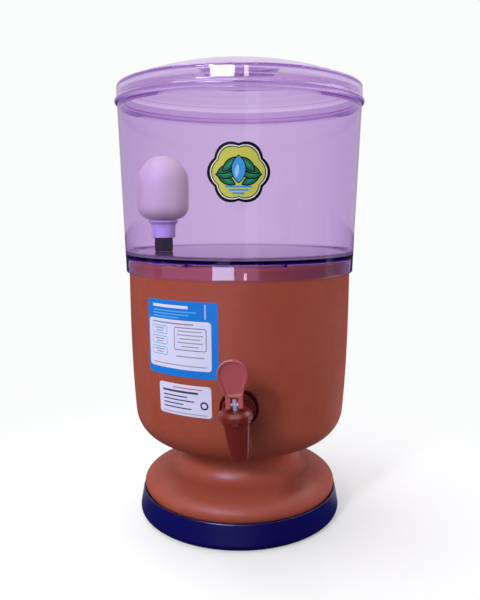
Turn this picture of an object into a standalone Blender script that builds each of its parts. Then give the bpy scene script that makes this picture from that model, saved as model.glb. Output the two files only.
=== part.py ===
"""Clay water filter: a clay reservoir in a plastic dish, with a clear upper container and lid.

A ceramic candle stands in the upper container, a float valve hangs under it, and a lever tap
goes through the reservoir's front. +Z is up, the tap points along -Y, and the origin is the
centre of the dish's underside. Sizes are in metres, angles in degrees.
"""

import math

import bmesh
import bpy
from mathutils import Vector

# Gaps
TOUCH = 0.0003            # between faces that rest on each other
THREAD_GAP = 0.0004       # around a screwed stem or shank
SLIDE_GAP = 0.0004        # around a sliding rod

# Fineness of round pieces
ROUND = 40
MEDIUM_ROUND = 24
SMALL_ROUND = 20
PIN_ROUND = 12
SHARP = 32.0

# Dish
DISH_HEIGHT = 0.026
DISH_FLOOR = 0.003
DISH_WALL = 0.002
DISH_FLARE = 0.0033       # how much wider the dish is low down than at its rim
DISH_EDGE = 0.0065        # rounding of its lower edge
DISH_CLEARANCE = 0.0009   # between its rim and the clay foot

# Clay reservoir, heights above its own foot
CLAY_HEIGHT = 0.2579
CLAY_RADIUS = 0.1099
CLAY_WALL = 0.0085
CLAY_TAPER = 0.0040       # how much narrower the wall is where the bottom corner begins
CORNER_HEIGHT = 0.1067
CORNER_RADIUS = 0.032
RIM_ROUNDING = 0.0025
GROOVE_RADIUS = 0.0735    # where the neck's groove opens
FOOT_RADIUS = 0.0987
FOOT_SHOULDER = 0.0507    # half width of the foot's rounded shoulder
FOOT_DOME = 0.0185        # its height
FOOT_EQUATOR = 0.0277     # height of the foot's widest ring
FOOT_TUCK = 0.0055        # how far the foot draws in below that ring
TUCK_HEIGHT = 0.0075
FOOT_RING = 0.0085        # width of the ring that it stands on
FOOT_EDGE = 0.0015

# Upper container, heights above its floor's underside
FLOOR_THICKNESS = 0.003
SKIRT_HEIGHT = 0.0144
SKIRT_CLEARANCE = 0.0006
BOX_WALL = 0.0022
BOX_FLARE = 0.0053        # how much the wall widens from the skirt's hem to the lid's step
STEP_HEIGHT = 0.1446      # where the lid rests
LIP_HEIGHT = 0.011
LIP_INSET = 0.0018
BOX_FILLET = 0.004
RIB_COUNT = 8
RIB_HEIGHT = 0.0026
RIB_WIDTH = 0.005
RIB_EDGE = 0.0015
RIB_START = 20.8          # azimuth of the first rib from the front

# Lid, heights above the step that it rests on
BAND_HEIGHT = 0.0152
BAND_WALL = 0.0021
BAND_TAPER = 0.0004
BAND_CLEARANCE = 0.0004
BEAD_PROUD = 0.0018
BEAD_HEIGHT = 0.0045
BEAD_ARC = 60.0           # how far its rounding goes up and down from its middle
SHOULDER_RADIUS = 0.003
SHOULDER_ARC = 75.0
DOME_RISE = 0.0222
DOME_INSET = 0.0035       # how far the dome starts inside the band
LID_WALL = 0.0022
RECESS_RADIUS = 0.040
RECESS_DEPTH = 0.0193
GRIP_WIDTH = 0.008
GRIP_DROP = 0.001         # how far the grip's top lies under the dome

# Ceramic candle, heights above the container's floor
CANDLE_PLACE = (-0.0765, 0.0)
CANDLE_HEIGHT = 0.0955
CANDLE_RADIUS = 0.0258
CANDLE_WALL = 0.0055
CANDLE_FOOT = 0.033       # height of the shell's underside
CANDLE_EDGE = 0.014       # rounding of its lower edge
SAUCER_THICKNESS = 0.003
SAUCER_LIP = 0.003
NECK_WIDTH = 0.024
STEM_RADIUS = 0.0055
STEM_BORE = 0.0025
STEM_LENGTH = 0.0204      # below the floor
CORE_RADIUS = 0.010
CORE_HEIGHT = 0.045
UPPER_WASHER_RADIUS = 0.0092
UPPER_WASHER_THICKNESS = 0.014
LOWER_WASHER_RADIUS = 0.011
LOWER_WASHER_THICKNESS = 0.002
WING_HUB_RADIUS = 0.009
WING_NUT_HEIGHT = 0.007
WING_SPAN = 0.017
WING_THICKNESS = 0.003
WING_NUT_EDGE = 0.0008

# Float valve
VALVE_RADIUS = 0.0085
VALVE_HUB_HEIGHT = 0.007
CAGE_WALL = 0.0018
CAGE_HEIGHT = 0.012
COLLAR_THICKNESS = 0.003
WINDOW_COUNT = 3
WINDOW_WIDTH = 0.008
FLOAT_TRAVEL = 0.005
ROD_RADIUS = 0.002
TIP_RADIUS = 0.0042
TIP_HEIGHT = 0.003
FLOAT_RADIUS = 0.0195
FLOAT_HEIGHT = 0.026
FLOAT_WALL = 0.0012
FLOAT_LIP = 0.0025

# Tap, in its own frame: the shank's axis along Y, the barrel's along Z
TAP_HEIGHT = 0.1387       # of the shank's axis at the wall, above the ground
TAP_SIDE = -0.0004
TAP_PITCH = 4.0           # nose down, square to the wall
TAP_LEAN = 4.5            # barrel's top to the left
TAP_YAW = 3.0             # nose to the left
TAP_REACH = 0.039         # from the wall to the barrel's axis
SHANK_RADIUS = 0.0069
SHANK_HOLE_GAP = 0.0006
SHANK_BORE = 0.0038
SHANK_END = 0.002         # how far it passes the back nut
FLANGE_RADIUS = 0.0148
FLANGE_THICKNESS = 0.0024
NECK_HUB_RADIUS = 0.0085
NECK_HUB_LENGTH = 0.003
NECK_RADIUS = 0.0059
OUTER_WASHER_RADIUS = 0.0172
OUTER_WASHER_THICKNESS = 0.0022
INNER_WASHER_RADIUS = 0.012
INNER_WASHER_THICKNESS = 0.0024
WASHER_FIT = 0.0018       # how far a washer reaches into the wall's curve
BACK_NUT_RADIUS = 0.012
BACK_NUT_HEIGHT = 0.0068
BARREL_RADIUS = 0.0106
BARREL_BORE = 0.008
COLLAR_RADIUS = 0.0122
COLLAR_HEIGHT = 0.0028
SEAT_DEPTH = 0.006
SPOUT_TOP_RADIUS = 0.0109
SPOUT_END_RADIUS = 0.00715
SPOUT_LENGTH = 0.0285
OUTLET_BORE = 0.0052
CAP_RADIUS = 0.0142
CAP_FACETS = 12
CAP_HEIGHT = 0.0078
CAP_WALL = 0.0022
CAP_HOLE = 0.0032
CAP_EDGE = 0.0007
SEAL_THICKNESS = 0.0016
SEAL_BORE = 0.0028

# Valve stem and lever, heights above the lever's pin
CAM_RADIUS = 0.0032
CAM_GAP = 0.0009          # between the cam and the cap nut
CAM_LIFT = 0.0029         # how far the lever lifts the stem
CAM_BACK = 70             # how far round the pin the cam starts, behind its lowest point
CAM_FRONT = 90            # how far it goes in front of that point
CAM_STEP = 20
LEVER_SWING = 80.0
PIN_RADIUS = 0.00125
PIN_HOLE = 0.0014
STEM_ROD_RADIUS = 0.0024
EYE_RADIUS = 0.0027
STEM_TIP_RADIUS = 0.0017
STEM_TIP_HEIGHT = 0.0049
FORK_GAP = 0.0062
FORK_WIDTH = 0.0138
PRONG_DEPTH = 0.0042
PADDLE_BASE = 0.0068
PADDLE_BASE_WIDTH = 0.014
PADDLE_RADIUS = 0.0124
PADDLE_CENTRE = 0.0259
PADDLE_THICKNESS = 0.0042
PADDLE_RIM = 0.0016
PADDLE_DISH = 0.0014
PLUG_RADIUS = 0.0066
PLUG_HEIGHT = 0.004
PLUG_NECK_RADIUS = 0.0036
PLUG_CONE = 0.002

# Labels on the clay wall, azimuths from the front
STICKER_THICKNESS = 0.00025
STICKER_CORNER = 0.003
PERFORMANCE_WIDTH = 0.075
PERFORMANCE_HEIGHT = 0.068
PERFORMANCE_AZIMUTH = -29.1
LABEL_DROP = 0.0297       # from the clay's rim down to the upper label
PRODUCT_WIDTH = 0.0546
PRODUCT_HEIGHT = 0.029
PRODUCT_AZIMUTH = -27.5
LABEL_GAP = 0.007         # between the two labels

# Badge on the clear wall
BADGE_RADIUS = 0.02465
BADGE_LOBES = 6
BADGE_LOBE_DEPTH = 0.00155
BADGE_AZIMUTH = -0.3
BADGE_HEIGHT = 0.0765     # of its middle, above the floor's underside

# Heights above the ground that follow from the sizes
CLAY_SEAT = DISH_FLOOR + TOUCH
BOX_SEAT = CLAY_SEAT + CLAY_HEIGHT + TOUCH + RIB_HEIGHT
LID_SEAT = BOX_SEAT + STEP_HEIGHT + TOUCH

# The bottom corner's arc starts where the wall leans by this much.
CORNER_LEAN = math.degrees(math.atan(3 * CLAY_TAPER / (CLAY_HEIGHT - CORNER_HEIGHT)))

# Finishes: colour, roughness, metallic
CLAY_FINISH = ((0.32, 0.080, 0.045), 0.62, 0.0)
NAVY_PLASTIC = ((0.012, 0.010, 0.115), 0.28, 0.0)
CLEAR_VIOLET = ((0.50, 0.36, 0.66), 0.06, 0.0)
WHITE_CERAMIC = ((0.80, 0.77, 0.82), 0.35, 0.0)
WHITE_PLASTIC = ((0.75, 0.76, 0.82), 0.30, 0.0)
CARBON = ((0.02, 0.02, 0.02), 0.85, 0.0)
DARK_RUBBER = ((0.035, 0.012, 0.010), 0.70, 0.0)
RED_PLASTIC = ((0.155, 0.024, 0.018), 0.22, 0.0)
PALE_RED_PLASTIC = ((0.38, 0.085, 0.085), 0.20, 0.0)
STEEL = ((0.55, 0.55, 0.56), 0.25, 1.0)
SILICONE = ((0.70, 0.68, 0.64), 0.50, 0.0)
BLUE_PAPER = ((0.010, 0.20, 0.62), 0.45, 0.0)
WHITE_PAPER = ((0.78, 0.76, 0.84), 0.50, 0.0)
YELLOW_FILM = ((0.52, 0.55, 0.07), 0.35, 0.0)


def clear_scene():
    """Remove what the file holds at its start."""
    for thing in list(bpy.data.objects):
        bpy.data.objects.remove(thing, do_unlink=True)


def dress(thing, finish):
    """Give an object its own material from a finish."""
    colour, roughness, metallic = finish
    material = bpy.data.materials.new(thing.name + "_finish")
    material.use_nodes = True
    shader = material.node_tree.nodes["Principled BSDF"]
    shader.inputs["Base Color"].default_value = (*colour, 1.0)
    shader.inputs["Roughness"].default_value = roughness
    shader.inputs["Metallic"].default_value = metallic
    thing.data.materials.append(material)
    return thing


def finished(name, bm):
    """Turn a bmesh into a smooth-shaded object in the scene."""
    bmesh.ops.remove_doubles(bm, verts=bm.verts, dist=1e-7)
    bmesh.ops.recalc_face_normals(bm, faces=bm.faces)
    mesh = bpy.data.meshes.new(name)
    bm.to_mesh(mesh)
    bm.free()
    mesh.shade_smooth()
    mesh.set_sharp_from_angle(angle=math.radians(SHARP))
    thing = bpy.data.objects.new(name, mesh)
    bpy.context.collection.objects.link(thing)
    return thing


def frame_at(name, place, parent=None):
    """An empty that pieces are parented to."""
    frame = bpy.data.objects.new(name, None)
    frame.empty_display_size = 0.01
    frame.location = place
    frame.parent = parent
    bpy.context.collection.objects.link(frame)
    return frame


def arc(centre, radius, start, end, steps):
    """Points on an arc in the (radius, height) plane, from +radius towards +height."""
    return oval(centre, radius, radius, start, end, steps)


def oval(centre, half_width, half_height, start, end, steps):
    """Points on part of an upright ellipse."""
    points = []
    for step in range(steps + 1):
        angle = math.radians(start + (end - start) * step / steps)
        points.append((centre[0] + half_width * math.cos(angle),
                       centre[1] + half_height * math.sin(angle)))
    return points


def turned(name, outline, steps=ROUND, ring=False):
    """Spin an outline of (radius, height) about Z. A ring's outline closes on itself."""
    bm = bmesh.new()
    verts = [bm.verts.new((radius, 0.0, height)) for radius, height in outline]
    pairs = list(zip(verts, verts[1:]))
    if ring:
        pairs.append((verts[-1], verts[0]))
    edges = [bm.edges.new(pair) for pair in pairs]
    bmesh.ops.spin(bm, geom=verts + edges, cent=(0, 0, 0), axis=(0, 0, 1),
                   angle=math.tau, steps=steps, use_merge=True)
    return finished(name, bm)


def tube(name, outer, bore, low, high, steps=SMALL_ROUND, edge=0.0):
    """A round ring with a bore, its outer edges bevelled."""
    outline = [(bore, low), (outer - edge, low), (outer, low + edge)]
    outline += [(outer, high - edge), (outer - edge, high), (bore, high)]
    return turned(name, drop_repeats(outline), steps, ring=True)


def rod(name, radius, low, high, steps=SMALL_ROUND):
    """A plain round bar."""
    return turned(name, [(0.0, high), (radius, high), (radius, low), (0.0, low)], steps)


def drop_repeats(outline):
    """Leave out points that repeat the one before."""
    kept = [outline[0]]
    for point in outline[1:]:
        if math.dist(point, kept[-1]) > 1e-7:
            kept.append(point)
    return kept


def slab(name, outline, thickness, across="Y"):
    """Extrude an outline of (sideways, height) across Y, or of (depth, height) across X."""
    bm = bmesh.new()
    half = thickness / 2
    if across == "Y":
        corners = [(side, -half, height) for side, height in outline]
        push = Vector((0, thickness, 0))
    else:
        corners = [(-half, depth, height) for depth, height in outline]
        push = Vector((thickness, 0, 0))
    face = bm.faces.new([bm.verts.new(corner) for corner in corners])
    made = bmesh.ops.extrude_face_region(bm, geom=[face])
    moved = [item for item in made["geom"] if isinstance(item, bmesh.types.BMVert)]
    bmesh.ops.translate(bm, verts=moved, vec=push)
    return finished(name, bm)


def combine(target, tool, operation="DIFFERENCE"):
    """Join, cut or intersect with a tool, which then stays out of the model."""
    modifier = target.modifiers.new(tool.name, "BOOLEAN")
    modifier.object = tool
    modifier.operation = operation
    modifier.solver = "EXACT"
    tool.hide_render = True
    tool.display_type = "WIRE"
    return target


def place(thing, parent, location=(0, 0, 0), turn=(0, 0, 0)):
    """Put an object in its parent's frame, with a turn in degrees."""
    thing.parent = parent
    thing.location = location
    thing.rotation_euler = [math.radians(angle) for angle in turn]
    return thing


def clay_radius(height):
    """Outer radius of the reservoir's wall at a height above its foot."""
    drop = (CLAY_HEIGHT - height) / (CLAY_HEIGHT - CORNER_HEIGHT)
    return CLAY_RADIUS - CLAY_TAPER * drop ** 3


def corner_centre():
    """Centre of the arc that rounds the bowl's bottom corner."""
    lean = math.radians(CORNER_LEAN)
    return (clay_radius(CORNER_HEIGHT) - CORNER_RADIUS * math.cos(lean),
            CORNER_HEIGHT + CORNER_RADIUS * math.sin(lean))


def wall_radius(height):
    """Outer radius of the reservoir at a height, down its wall and round its bottom corner."""
    if height >= CORNER_HEIGHT:
        return clay_radius(height)
    across, up = corner_centre()
    return across + math.sqrt(CORNER_RADIUS ** 2 - (up - height) ** 2)


def foot_radius(height):
    """Outer radius of the foot at a height, below its widest ring."""
    drop = min(1.0, (FOOT_EQUATOR - height) / TUCK_HEIGHT)
    return FOOT_RADIUS - FOOT_TUCK + FOOT_TUCK * math.sqrt(1 - drop ** 2)


def wall_heights(low, high, steps):
    """Evenly spaced heights from low to high."""
    return [low + (high - low) * step / steps for step in range(steps + 1)]


def bowl_inside():
    """The reservoir's hollow, from its axis up to the rim."""
    centre = corner_centre()
    points = [(0.0, centre[1] - CORNER_RADIUS + CLAY_WALL)]
    points += arc(centre, CORNER_RADIUS - CLAY_WALL, -90, -CORNER_LEAN, 4)
    low = points[-1][1]
    top = CLAY_HEIGHT - RIM_ROUNDING
    points += [(clay_radius(z) - CLAY_WALL, z) for z in wall_heights(low, top, 3)[1:]]
    return points


def bowl_outside():
    """The reservoir's outer wall and bottom corner, from the rim down."""
    top = CLAY_HEIGHT - RIM_ROUNDING
    points = [(clay_radius(z), z) for z in wall_heights(top, CORNER_HEIGHT, 4)]
    points += arc(corner_centre(), CORNER_RADIUS, -CORNER_LEAN, -90, 6)[1:]
    return points


def neck_and_foot():
    """The groove of the neck and the outside of the foot, down to the ground ring."""
    under = corner_centre()[1] - CORNER_RADIUS
    centre = FOOT_RADIUS - FOOT_SHOULDER
    opening = math.acos((GROOVE_RADIUS - centre) / FOOT_SHOULDER)
    low = FOOT_EQUATOR + FOOT_DOME * math.sin(opening)
    half = (under - low) / 2
    points = arc((GROOVE_RADIUS, low + half), half, 90, 270, 6)
    points += oval((centre, FOOT_EQUATOR), FOOT_SHOULDER, FOOT_DOME, math.degrees(opening), 0, 5)[1:]
    tucked = FOOT_RADIUS - FOOT_TUCK
    points += oval((tucked, FOOT_EQUATOR), FOOT_TUCK, TUCK_HEIGHT, 0, -90, 3)[1:]
    points += [(tucked, FOOT_EDGE), (tucked - FOOT_EDGE, 0.0)]
    return points, GROOVE_RADIUS - half


def under_foot(neck):
    """The hollow under the foot and inside the neck, up to the axis."""
    inner_neck = neck - CLAY_WALL
    ceiling = corner_centre()[1] - CORNER_RADIUS
    centre = FOOT_RADIUS - FOOT_SHOULDER
    ring = FOOT_RADIUS - FOOT_TUCK - FOOT_RING
    points = [(ring, 0.0), (ring, FOOT_EQUATOR - TUCK_HEIGHT)]
    hollow = oval((centre, FOOT_EQUATOR), FOOT_SHOULDER - CLAY_WALL, FOOT_DOME - CLAY_WALL, 0, 90, 3)
    points += hollow
    points += [(inner_neck, hollow[-1][1] + CLAY_WALL / 2), (inner_neck, ceiling - CLAY_WALL / 2)]
    points += [(inner_neck - CLAY_WALL / 2, ceiling), (0.0, ceiling)]
    return points


def make_reservoir(frame):
    """The fired clay reservoir with its foot, and its hole for the tap."""
    inside = bowl_inside()
    outside = bowl_outside()
    foot, neck = neck_and_foot()
    rim_in = arc((inside[-1][0] + RIM_ROUNDING, inside[-1][1]), RIM_ROUNDING, 180, 90, 2)
    rim_out = arc((outside[0][0] - RIM_ROUNDING, outside[0][1]), RIM_ROUNDING, 90, 0, 2)
    outline = inside + rim_in[1:] + rim_out[:-1] + outside + foot[1:] + under_foot(neck)
    clay = turned("clay_reservoir", drop_repeats(outline))
    return dress(place(clay, frame), CLAY_FINISH)


def make_dish():
    """The plastic dish that the reservoir stands in."""
    rim_inside = foot_radius(DISH_HEIGHT - CLAY_SEAT) + DISH_CLEARANCE
    rim = rim_inside + DISH_WALL
    wide = rim + DISH_FLARE
    edge = (wide - DISH_EDGE, DISH_EDGE)
    outline = [(0.0, DISH_FLOOR)]
    outline += arc((edge[0], edge[1] + DISH_FLOOR - DISH_WALL), DISH_EDGE - DISH_WALL, -90, 0, 3)
    lip = DISH_WALL / 2
    outline += arc((rim - lip, DISH_HEIGHT - lip), lip, 180, 0, 3)
    outline += arc(edge, DISH_EDGE, 0, -90, 4)
    outline.append((0.0, 0.0))
    return dress(turned("base_dish", drop_repeats(outline)), NAVY_PLASTIC)


def box_radius(height):
    """Outer radius of the upper container at a height above its floor's underside."""
    hem = CLAY_RADIUS + SKIRT_CLEARANCE + BOX_WALL
    return hem + BOX_FLARE * (height + SKIRT_HEIGHT) / (STEP_HEIGHT + SKIRT_HEIGHT)


def lip_radius():
    """Outer radius of the lip that the lid goes over."""
    return box_radius(STEP_HEIGHT) - LIP_INSET


def box_outline():
    """The upper container's section, from the floor's top to its underside."""
    floor = FLOOR_THICKNESS
    corner = (box_radius(floor + BOX_FILLET) - BOX_WALL - BOX_FILLET, floor + BOX_FILLET)
    jog = STEP_HEIGHT - 2 * LIP_INSET
    lip = lip_radius()
    top = STEP_HEIGHT + LIP_HEIGHT
    half = BOX_WALL / 2
    outline = [(0.0, floor)] + arc(corner, BOX_FILLET, -90, 0, 3)
    outline += [(box_radius(jog) - BOX_WALL, jog), (lip - BOX_WALL, STEP_HEIGHT)]
    outline += arc((lip - half, top - half), half, 180, 0, 3)
    outline += [(lip, STEP_HEIGHT), (box_radius(STEP_HEIGHT), STEP_HEIGHT)]
    hem = box_radius(-SKIRT_HEIGHT)
    outline += [(box_radius(half - SKIRT_HEIGHT), half - SKIRT_HEIGHT), (hem - half, -SKIRT_HEIGHT)]
    outline += [(hem - BOX_WALL, -SKIRT_HEIGHT), (box_radius(0.0) - BOX_WALL, 0.0), (0.0, 0.0)]
    return outline


def rib_ring(name):
    """The V-shaped ribs under the container's floor, which rest on the clay rim."""
    bm = bmesh.new()
    inner = CLAY_RADIUS - CLAY_WALL + RIM_ROUNDING / 2
    outer = box_radius(0.0) - BOX_WALL / 2
    root = FLOOR_THICKNESS / 2
    for rib in range(RIB_COUNT):
        azimuth = math.radians(RIB_START + 360.0 * rib / RIB_COUNT)
        out = Vector((math.sin(azimuth), -math.cos(azimuth), 0))
        side = Vector((math.cos(azimuth), math.sin(azimuth), 0))
        section = [(-RIB_WIDTH / 2, root), (-RIB_EDGE / 2, -RIB_HEIGHT),
                   (RIB_EDGE / 2, -RIB_HEIGHT), (RIB_WIDTH / 2, root)]
        verts = [bm.verts.new(out * inner + side * across + Vector((0, 0, height)))
                 for across, height in section]
        made = bmesh.ops.extrude_face_region(bm, geom=[bm.faces.new(verts)])
        moved = [item for item in made["geom"] if isinstance(item, bmesh.types.BMVert)]
        bmesh.ops.translate(bm, verts=moved, vec=out * (outer - inner))
    return finished(name, bm)


def make_container(frame, candle):
    """The clear upper container with its skirt, ribs and candle hole."""
    box = place(turned("upper_container", drop_repeats(box_outline())), frame)
    ribs = place(rib_ring("rib_tool"), frame)
    combine(box, ribs, "UNION")
    hole = rod("candle_hole_tool", STEM_RADIUS + THREAD_GAP, -3 * FLOOR_THICKNESS, FLOOR_THICKNESS)
    combine(box, place(hole, candle))
    return dress(box, CLEAR_VIOLET)


def lid_shape():
    """The lid's band, dome and recess: radii and heights that its section uses."""
    band_inside = lip_radius() + BAND_CLEARANCE
    band = band_inside + BAND_WALL
    base = band - DOME_INSET
    base_height = BAND_HEIGHT + SHOULDER_RADIUS
    dome = (base ** 2 + DOME_RISE ** 2) / (2 * DOME_RISE)
    dome_centre = base_height + DOME_RISE - dome
    mouth = dome_centre + math.sqrt(dome ** 2 - RECESS_RADIUS ** 2)
    bowl = (RECESS_RADIUS ** 2 + RECESS_DEPTH ** 2) / (2 * RECESS_DEPTH)
    bowl_centre = mouth - RECESS_DEPTH + bowl
    return band_inside, band, base, base_height, dome, dome_centre, bowl, bowl_centre


def dome_points(centre, radius, start, end, steps):
    """Points on a dome's section between two distances from its axis."""
    points = []
    for step in range(steps + 1):
        across = start + (end - start) * step / steps
        points.append((across, centre + math.sqrt(radius ** 2 - across ** 2)))
    return points


def bowl_points(centre, radius, start, end, steps):
    """Points on a bowl's section between two distances from its axis."""
    points = dome_points(centre, radius, start, end, steps)
    return [(across, 2 * centre - height) for across, height in points]


def meeting(dome, dome_centre, bowl, bowl_centre):
    """Distance from the axis at which a dome and a bowl above it meet."""
    height = dome ** 2 - bowl ** 2 + bowl_centre ** 2 - dome_centre ** 2
    height /= 2 * (bowl_centre - dome_centre)
    return math.sqrt(dome ** 2 - (height - dome_centre) ** 2)


def lid_outline():
    """The lid's section, from the recess's top face round the band to its underside."""
    inside, band, base, base_height, dome, dome_centre, bowl, bowl_centre = lid_shape()
    outline = bowl_points(bowl_centre, bowl, 0.0, RECESS_RADIUS, 4)
    outline += dome_points(dome_centre, dome, RECESS_RADIUS, base, 4)[1:]
    shoulder = band - BAND_TAPER - SHOULDER_RADIUS
    outline += arc((shoulder, BAND_HEIGHT), SHOULDER_RADIUS, SHOULDER_ARC, 0, 3)
    outline += [(band, BEAD_HEIGHT + BEAD_PROUD / 2)]
    bead = (band + BEAD_PROUD - BEAD_HEIGHT / 2, BEAD_HEIGHT / 2)
    outline += arc(bead, BEAD_HEIGHT / 2, BEAD_ARC, -BEAD_ARC, 4)
    outline += [(band, 0.0), (inside, 0.0), (inside, BAND_HEIGHT)]
    lowered = dome - LID_WALL
    bowl_under = bowl + LID_WALL
    meet = meeting(lowered, dome_centre, bowl_under, bowl_centre)
    outline += dome_points(dome_centre, lowered, inside - BAND_WALL, meet, 3)
    outline += bowl_points(bowl_centre, bowl_under, meet, 0.0, 4)[1:]
    return outline


def make_lid(frame):
    """The clear domed lid with a recessed grip across its middle."""
    lid = place(turned("lid", drop_repeats(lid_outline())), frame)
    _, _, _, _, dome, dome_centre, bowl, bowl_centre = lid_shape()
    middle = bowl + LID_WALL / 2
    top = dome - GRIP_DROP
    reach = meeting(top, dome_centre, middle, bowl_centre)
    outline = bowl_points(bowl_centre, middle, -reach, reach, 12)
    outline += dome_points(dome_centre, top, reach, -reach, 8)[1:-1]
    grip = place(slab("grip_tool", outline, GRIP_WIDTH), frame)
    combine(lid, grip, "UNION")
    return dress(lid, CLEAR_VIOLET)


def make_candle(frame):
    """The ceramic candle on its necked base, with its core, washers and nut."""
    low = UPPER_WASHER_THICKNESS + 2 * TOUCH
    saucer_top = CANDLE_FOOT - TOUCH
    saucer_low = saucer_top - SAUCER_THICKNESS
    saucer = CANDLE_RADIUS - CANDLE_EDGE + SAUCER_LIP
    end = -FLOOR_THICKNESS - STEM_LENGTH
    neck = NECK_WIDTH / 2
    base = [(STEM_BORE, end), (STEM_RADIUS, end), (STEM_RADIUS, low), (neck, low)]
    base += [(neck, saucer_low - SAUCER_THICKNESS), (saucer, saucer_low)]
    base += [(saucer, saucer_top), (STEM_BORE, saucer_top)]
    dress(place(turned("candle_base", base, SMALL_ROUND, ring=True), frame), WHITE_PLASTIC)

    top = (0.0, CANDLE_HEIGHT - CANDLE_RADIUS)
    edge = (CANDLE_RADIUS - CANDLE_EDGE, CANDLE_FOOT + CANDLE_EDGE)
    inner = CANDLE_RADIUS - CANDLE_WALL
    room = CORE_RADIUS + SLIDE_GAP
    shell = arc(top, CANDLE_RADIUS, 90, 0, 6) + arc(edge, CANDLE_EDGE, 0, -90, 3)
    shell += [(room, CANDLE_FOOT), (room, CANDLE_FOOT + CANDLE_WALL), (inner, CANDLE_FOOT + CANDLE_EDGE)]
    shell += arc(top, inner, 0, 90, 4)
    dress(place(turned("candle_shell", shell, MEDIUM_ROUND), frame), WHITE_CERAMIC)
    core = rod("carbon_core", CORE_RADIUS, CANDLE_FOOT, CANDLE_FOOT + CORE_HEIGHT)
    dress(place(core, frame), CARBON)

    bore = STEM_RADIUS + THREAD_GAP
    top = TOUCH + UPPER_WASHER_THICKNESS
    washer = tube("candle_upper_washer", UPPER_WASHER_RADIUS, bore, TOUCH, top)
    dress(place(washer, frame), DARK_RUBBER)
    high = -FLOOR_THICKNESS - TOUCH
    low = high - LOWER_WASHER_THICKNESS
    washer = tube("candle_lower_washer", LOWER_WASHER_RADIUS, bore, low, high)
    dress(place(washer, frame), DARK_RUBBER)
    nut_top = low - TOUCH
    make_wing_nut(frame, bore, nut_top)
    return nut_top - WING_NUT_HEIGHT - TOUCH, end


def make_wing_nut(frame, bore, top):
    """The nut with two wings that clamps the candle from below."""
    low = top - WING_NUT_HEIGHT
    hub = tube("candle_wing_nut", WING_HUB_RADIUS, bore, low, top, edge=WING_NUT_EDGE)
    nut = place(hub, frame)
    for side in (-1, 1):
        inner = side * (bore + WING_HUB_RADIUS) / 2
        outline = [(inner, low + WING_THICKNESS / 2), (side * WING_SPAN, low - WING_THICKNESS)]
        outline += [(side * WING_SPAN, top - WING_THICKNESS), (inner, top - WING_THICKNESS / 2)]
        wing = place(slab("wing_tool_%d" % side, outline, WING_THICKNESS), frame)
        combine(nut, wing, "UNION")
    return dress(nut, WHITE_PLASTIC)


def make_float_valve(frame, float_frame, hub_top, outlet):
    """The valve under the candle's stem: a cage, and a float that shuts the stem as it rises."""
    hub_low = hub_top - VALVE_HUB_HEIGHT
    collar_top = hub_low - CAGE_HEIGHT
    collar_low = collar_top - COLLAR_THICKNESS
    bore = STEM_RADIUS + THREAD_GAP
    room = VALVE_RADIUS - CAGE_WALL
    guide = ROD_RADIUS + SLIDE_GAP
    outline = [(bore, hub_top), (VALVE_RADIUS, hub_top), (VALVE_RADIUS, collar_low), (guide, collar_low)]
    outline += [(guide, collar_top), (room, collar_top), (room, hub_low), (bore, hub_low)]
    body = place(turned("float_valve_body", outline[::-1], SMALL_ROUND, ring=True), frame)
    for window in range(WINDOW_COUNT):
        azimuth = 360.0 * window / WINDOW_COUNT
        half = WINDOW_WIDTH / 2
        high = outlet - TOUCH
        opening = [(0.0, collar_top + half / 2), (2 * VALVE_RADIUS, collar_top + half / 2)]
        opening += [(2 * VALVE_RADIUS, high), (0.0, high)]
        tool = slab("window_tool_%d" % window, opening, WINDOW_WIDTH)
        combine(body, place(tool, frame, turn=(0, 0, azimuth)))
    dress(body, WHITE_PLASTIC)

    tip_low = collar_top + TOUCH
    tip_top = tip_low + TIP_HEIGHT
    socket = ROD_RADIUS + TOUCH
    rod_top = tip_low + TIP_HEIGHT / 2
    inside_top = rod_top + TOUCH
    outline = [(0.0, tip_top), (TIP_RADIUS - SLIDE_GAP, tip_top), (TIP_RADIUS, tip_top - SLIDE_GAP)]
    outline += [(TIP_RADIUS, tip_low), (socket, tip_low), (socket, inside_top), (0.0, inside_top)]
    dress(place(turned("float_tip", outline, PIN_ROUND), float_frame), DARK_RUBBER)
    make_float(float_frame, collar_low - FLOAT_TRAVEL - 2 * TOUCH, rod_top)


def make_float(frame, top, rod_top):
    """The hollow float: an upper shell with the guide rod, and a lower shell pushed into it."""
    middle = top - FLOAT_HEIGHT / 2
    half = FLOAT_HEIGHT / 2
    rise = half - FLOAT_LIP
    inner = FLOAT_RADIUS - FLOAT_WALL
    upper = [(0.0, rod_top), (ROD_RADIUS, rod_top)]
    upper += oval((ROD_RADIUS, middle + FLOAT_LIP), FLOAT_RADIUS - ROD_RADIUS, rise, 90, 0, 5)
    upper += [(FLOAT_RADIUS, middle), (inner, middle)]
    upper += oval((0.0, middle + FLOAT_LIP), inner, rise - FLOAT_WALL, 0, 90, 4)
    dress(place(turned("float_upper_shell", upper, SMALL_ROUND), frame), WHITE_PLASTIC)

    seam = middle - TOUCH
    plug = inner - TOUCH
    lower = oval((0.0, seam - FLOAT_LIP), FLOAT_RADIUS, rise, -90, 0, 5)
    lower += [(FLOAT_RADIUS, seam), (plug, seam), (plug, seam + FLOAT_LIP)]
    lower += [(plug - FLOAT_WALL, seam + FLOAT_LIP), (plug - FLOAT_WALL, seam - FLOAT_LIP)]
    lower += oval((0.0, seam - FLOAT_LIP), plug - FLOAT_WALL, rise - FLOAT_WALL, 0, -90, 4)[1:]
    dress(place(turned("float_lower_shell", lower, SMALL_ROUND), frame), WHITE_PLASTIC)


def wall_shell(name, offset, low, high):
    """A solid that fills the wall's outer shape, made larger or smaller by an offset."""
    heights = wall_heights(low, high, 4)
    outline = [(0.0, high)] + [(clay_radius(z) + offset, z) for z in reversed(heights)] + [(0.0, low)]
    return turned(name, outline)


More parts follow.
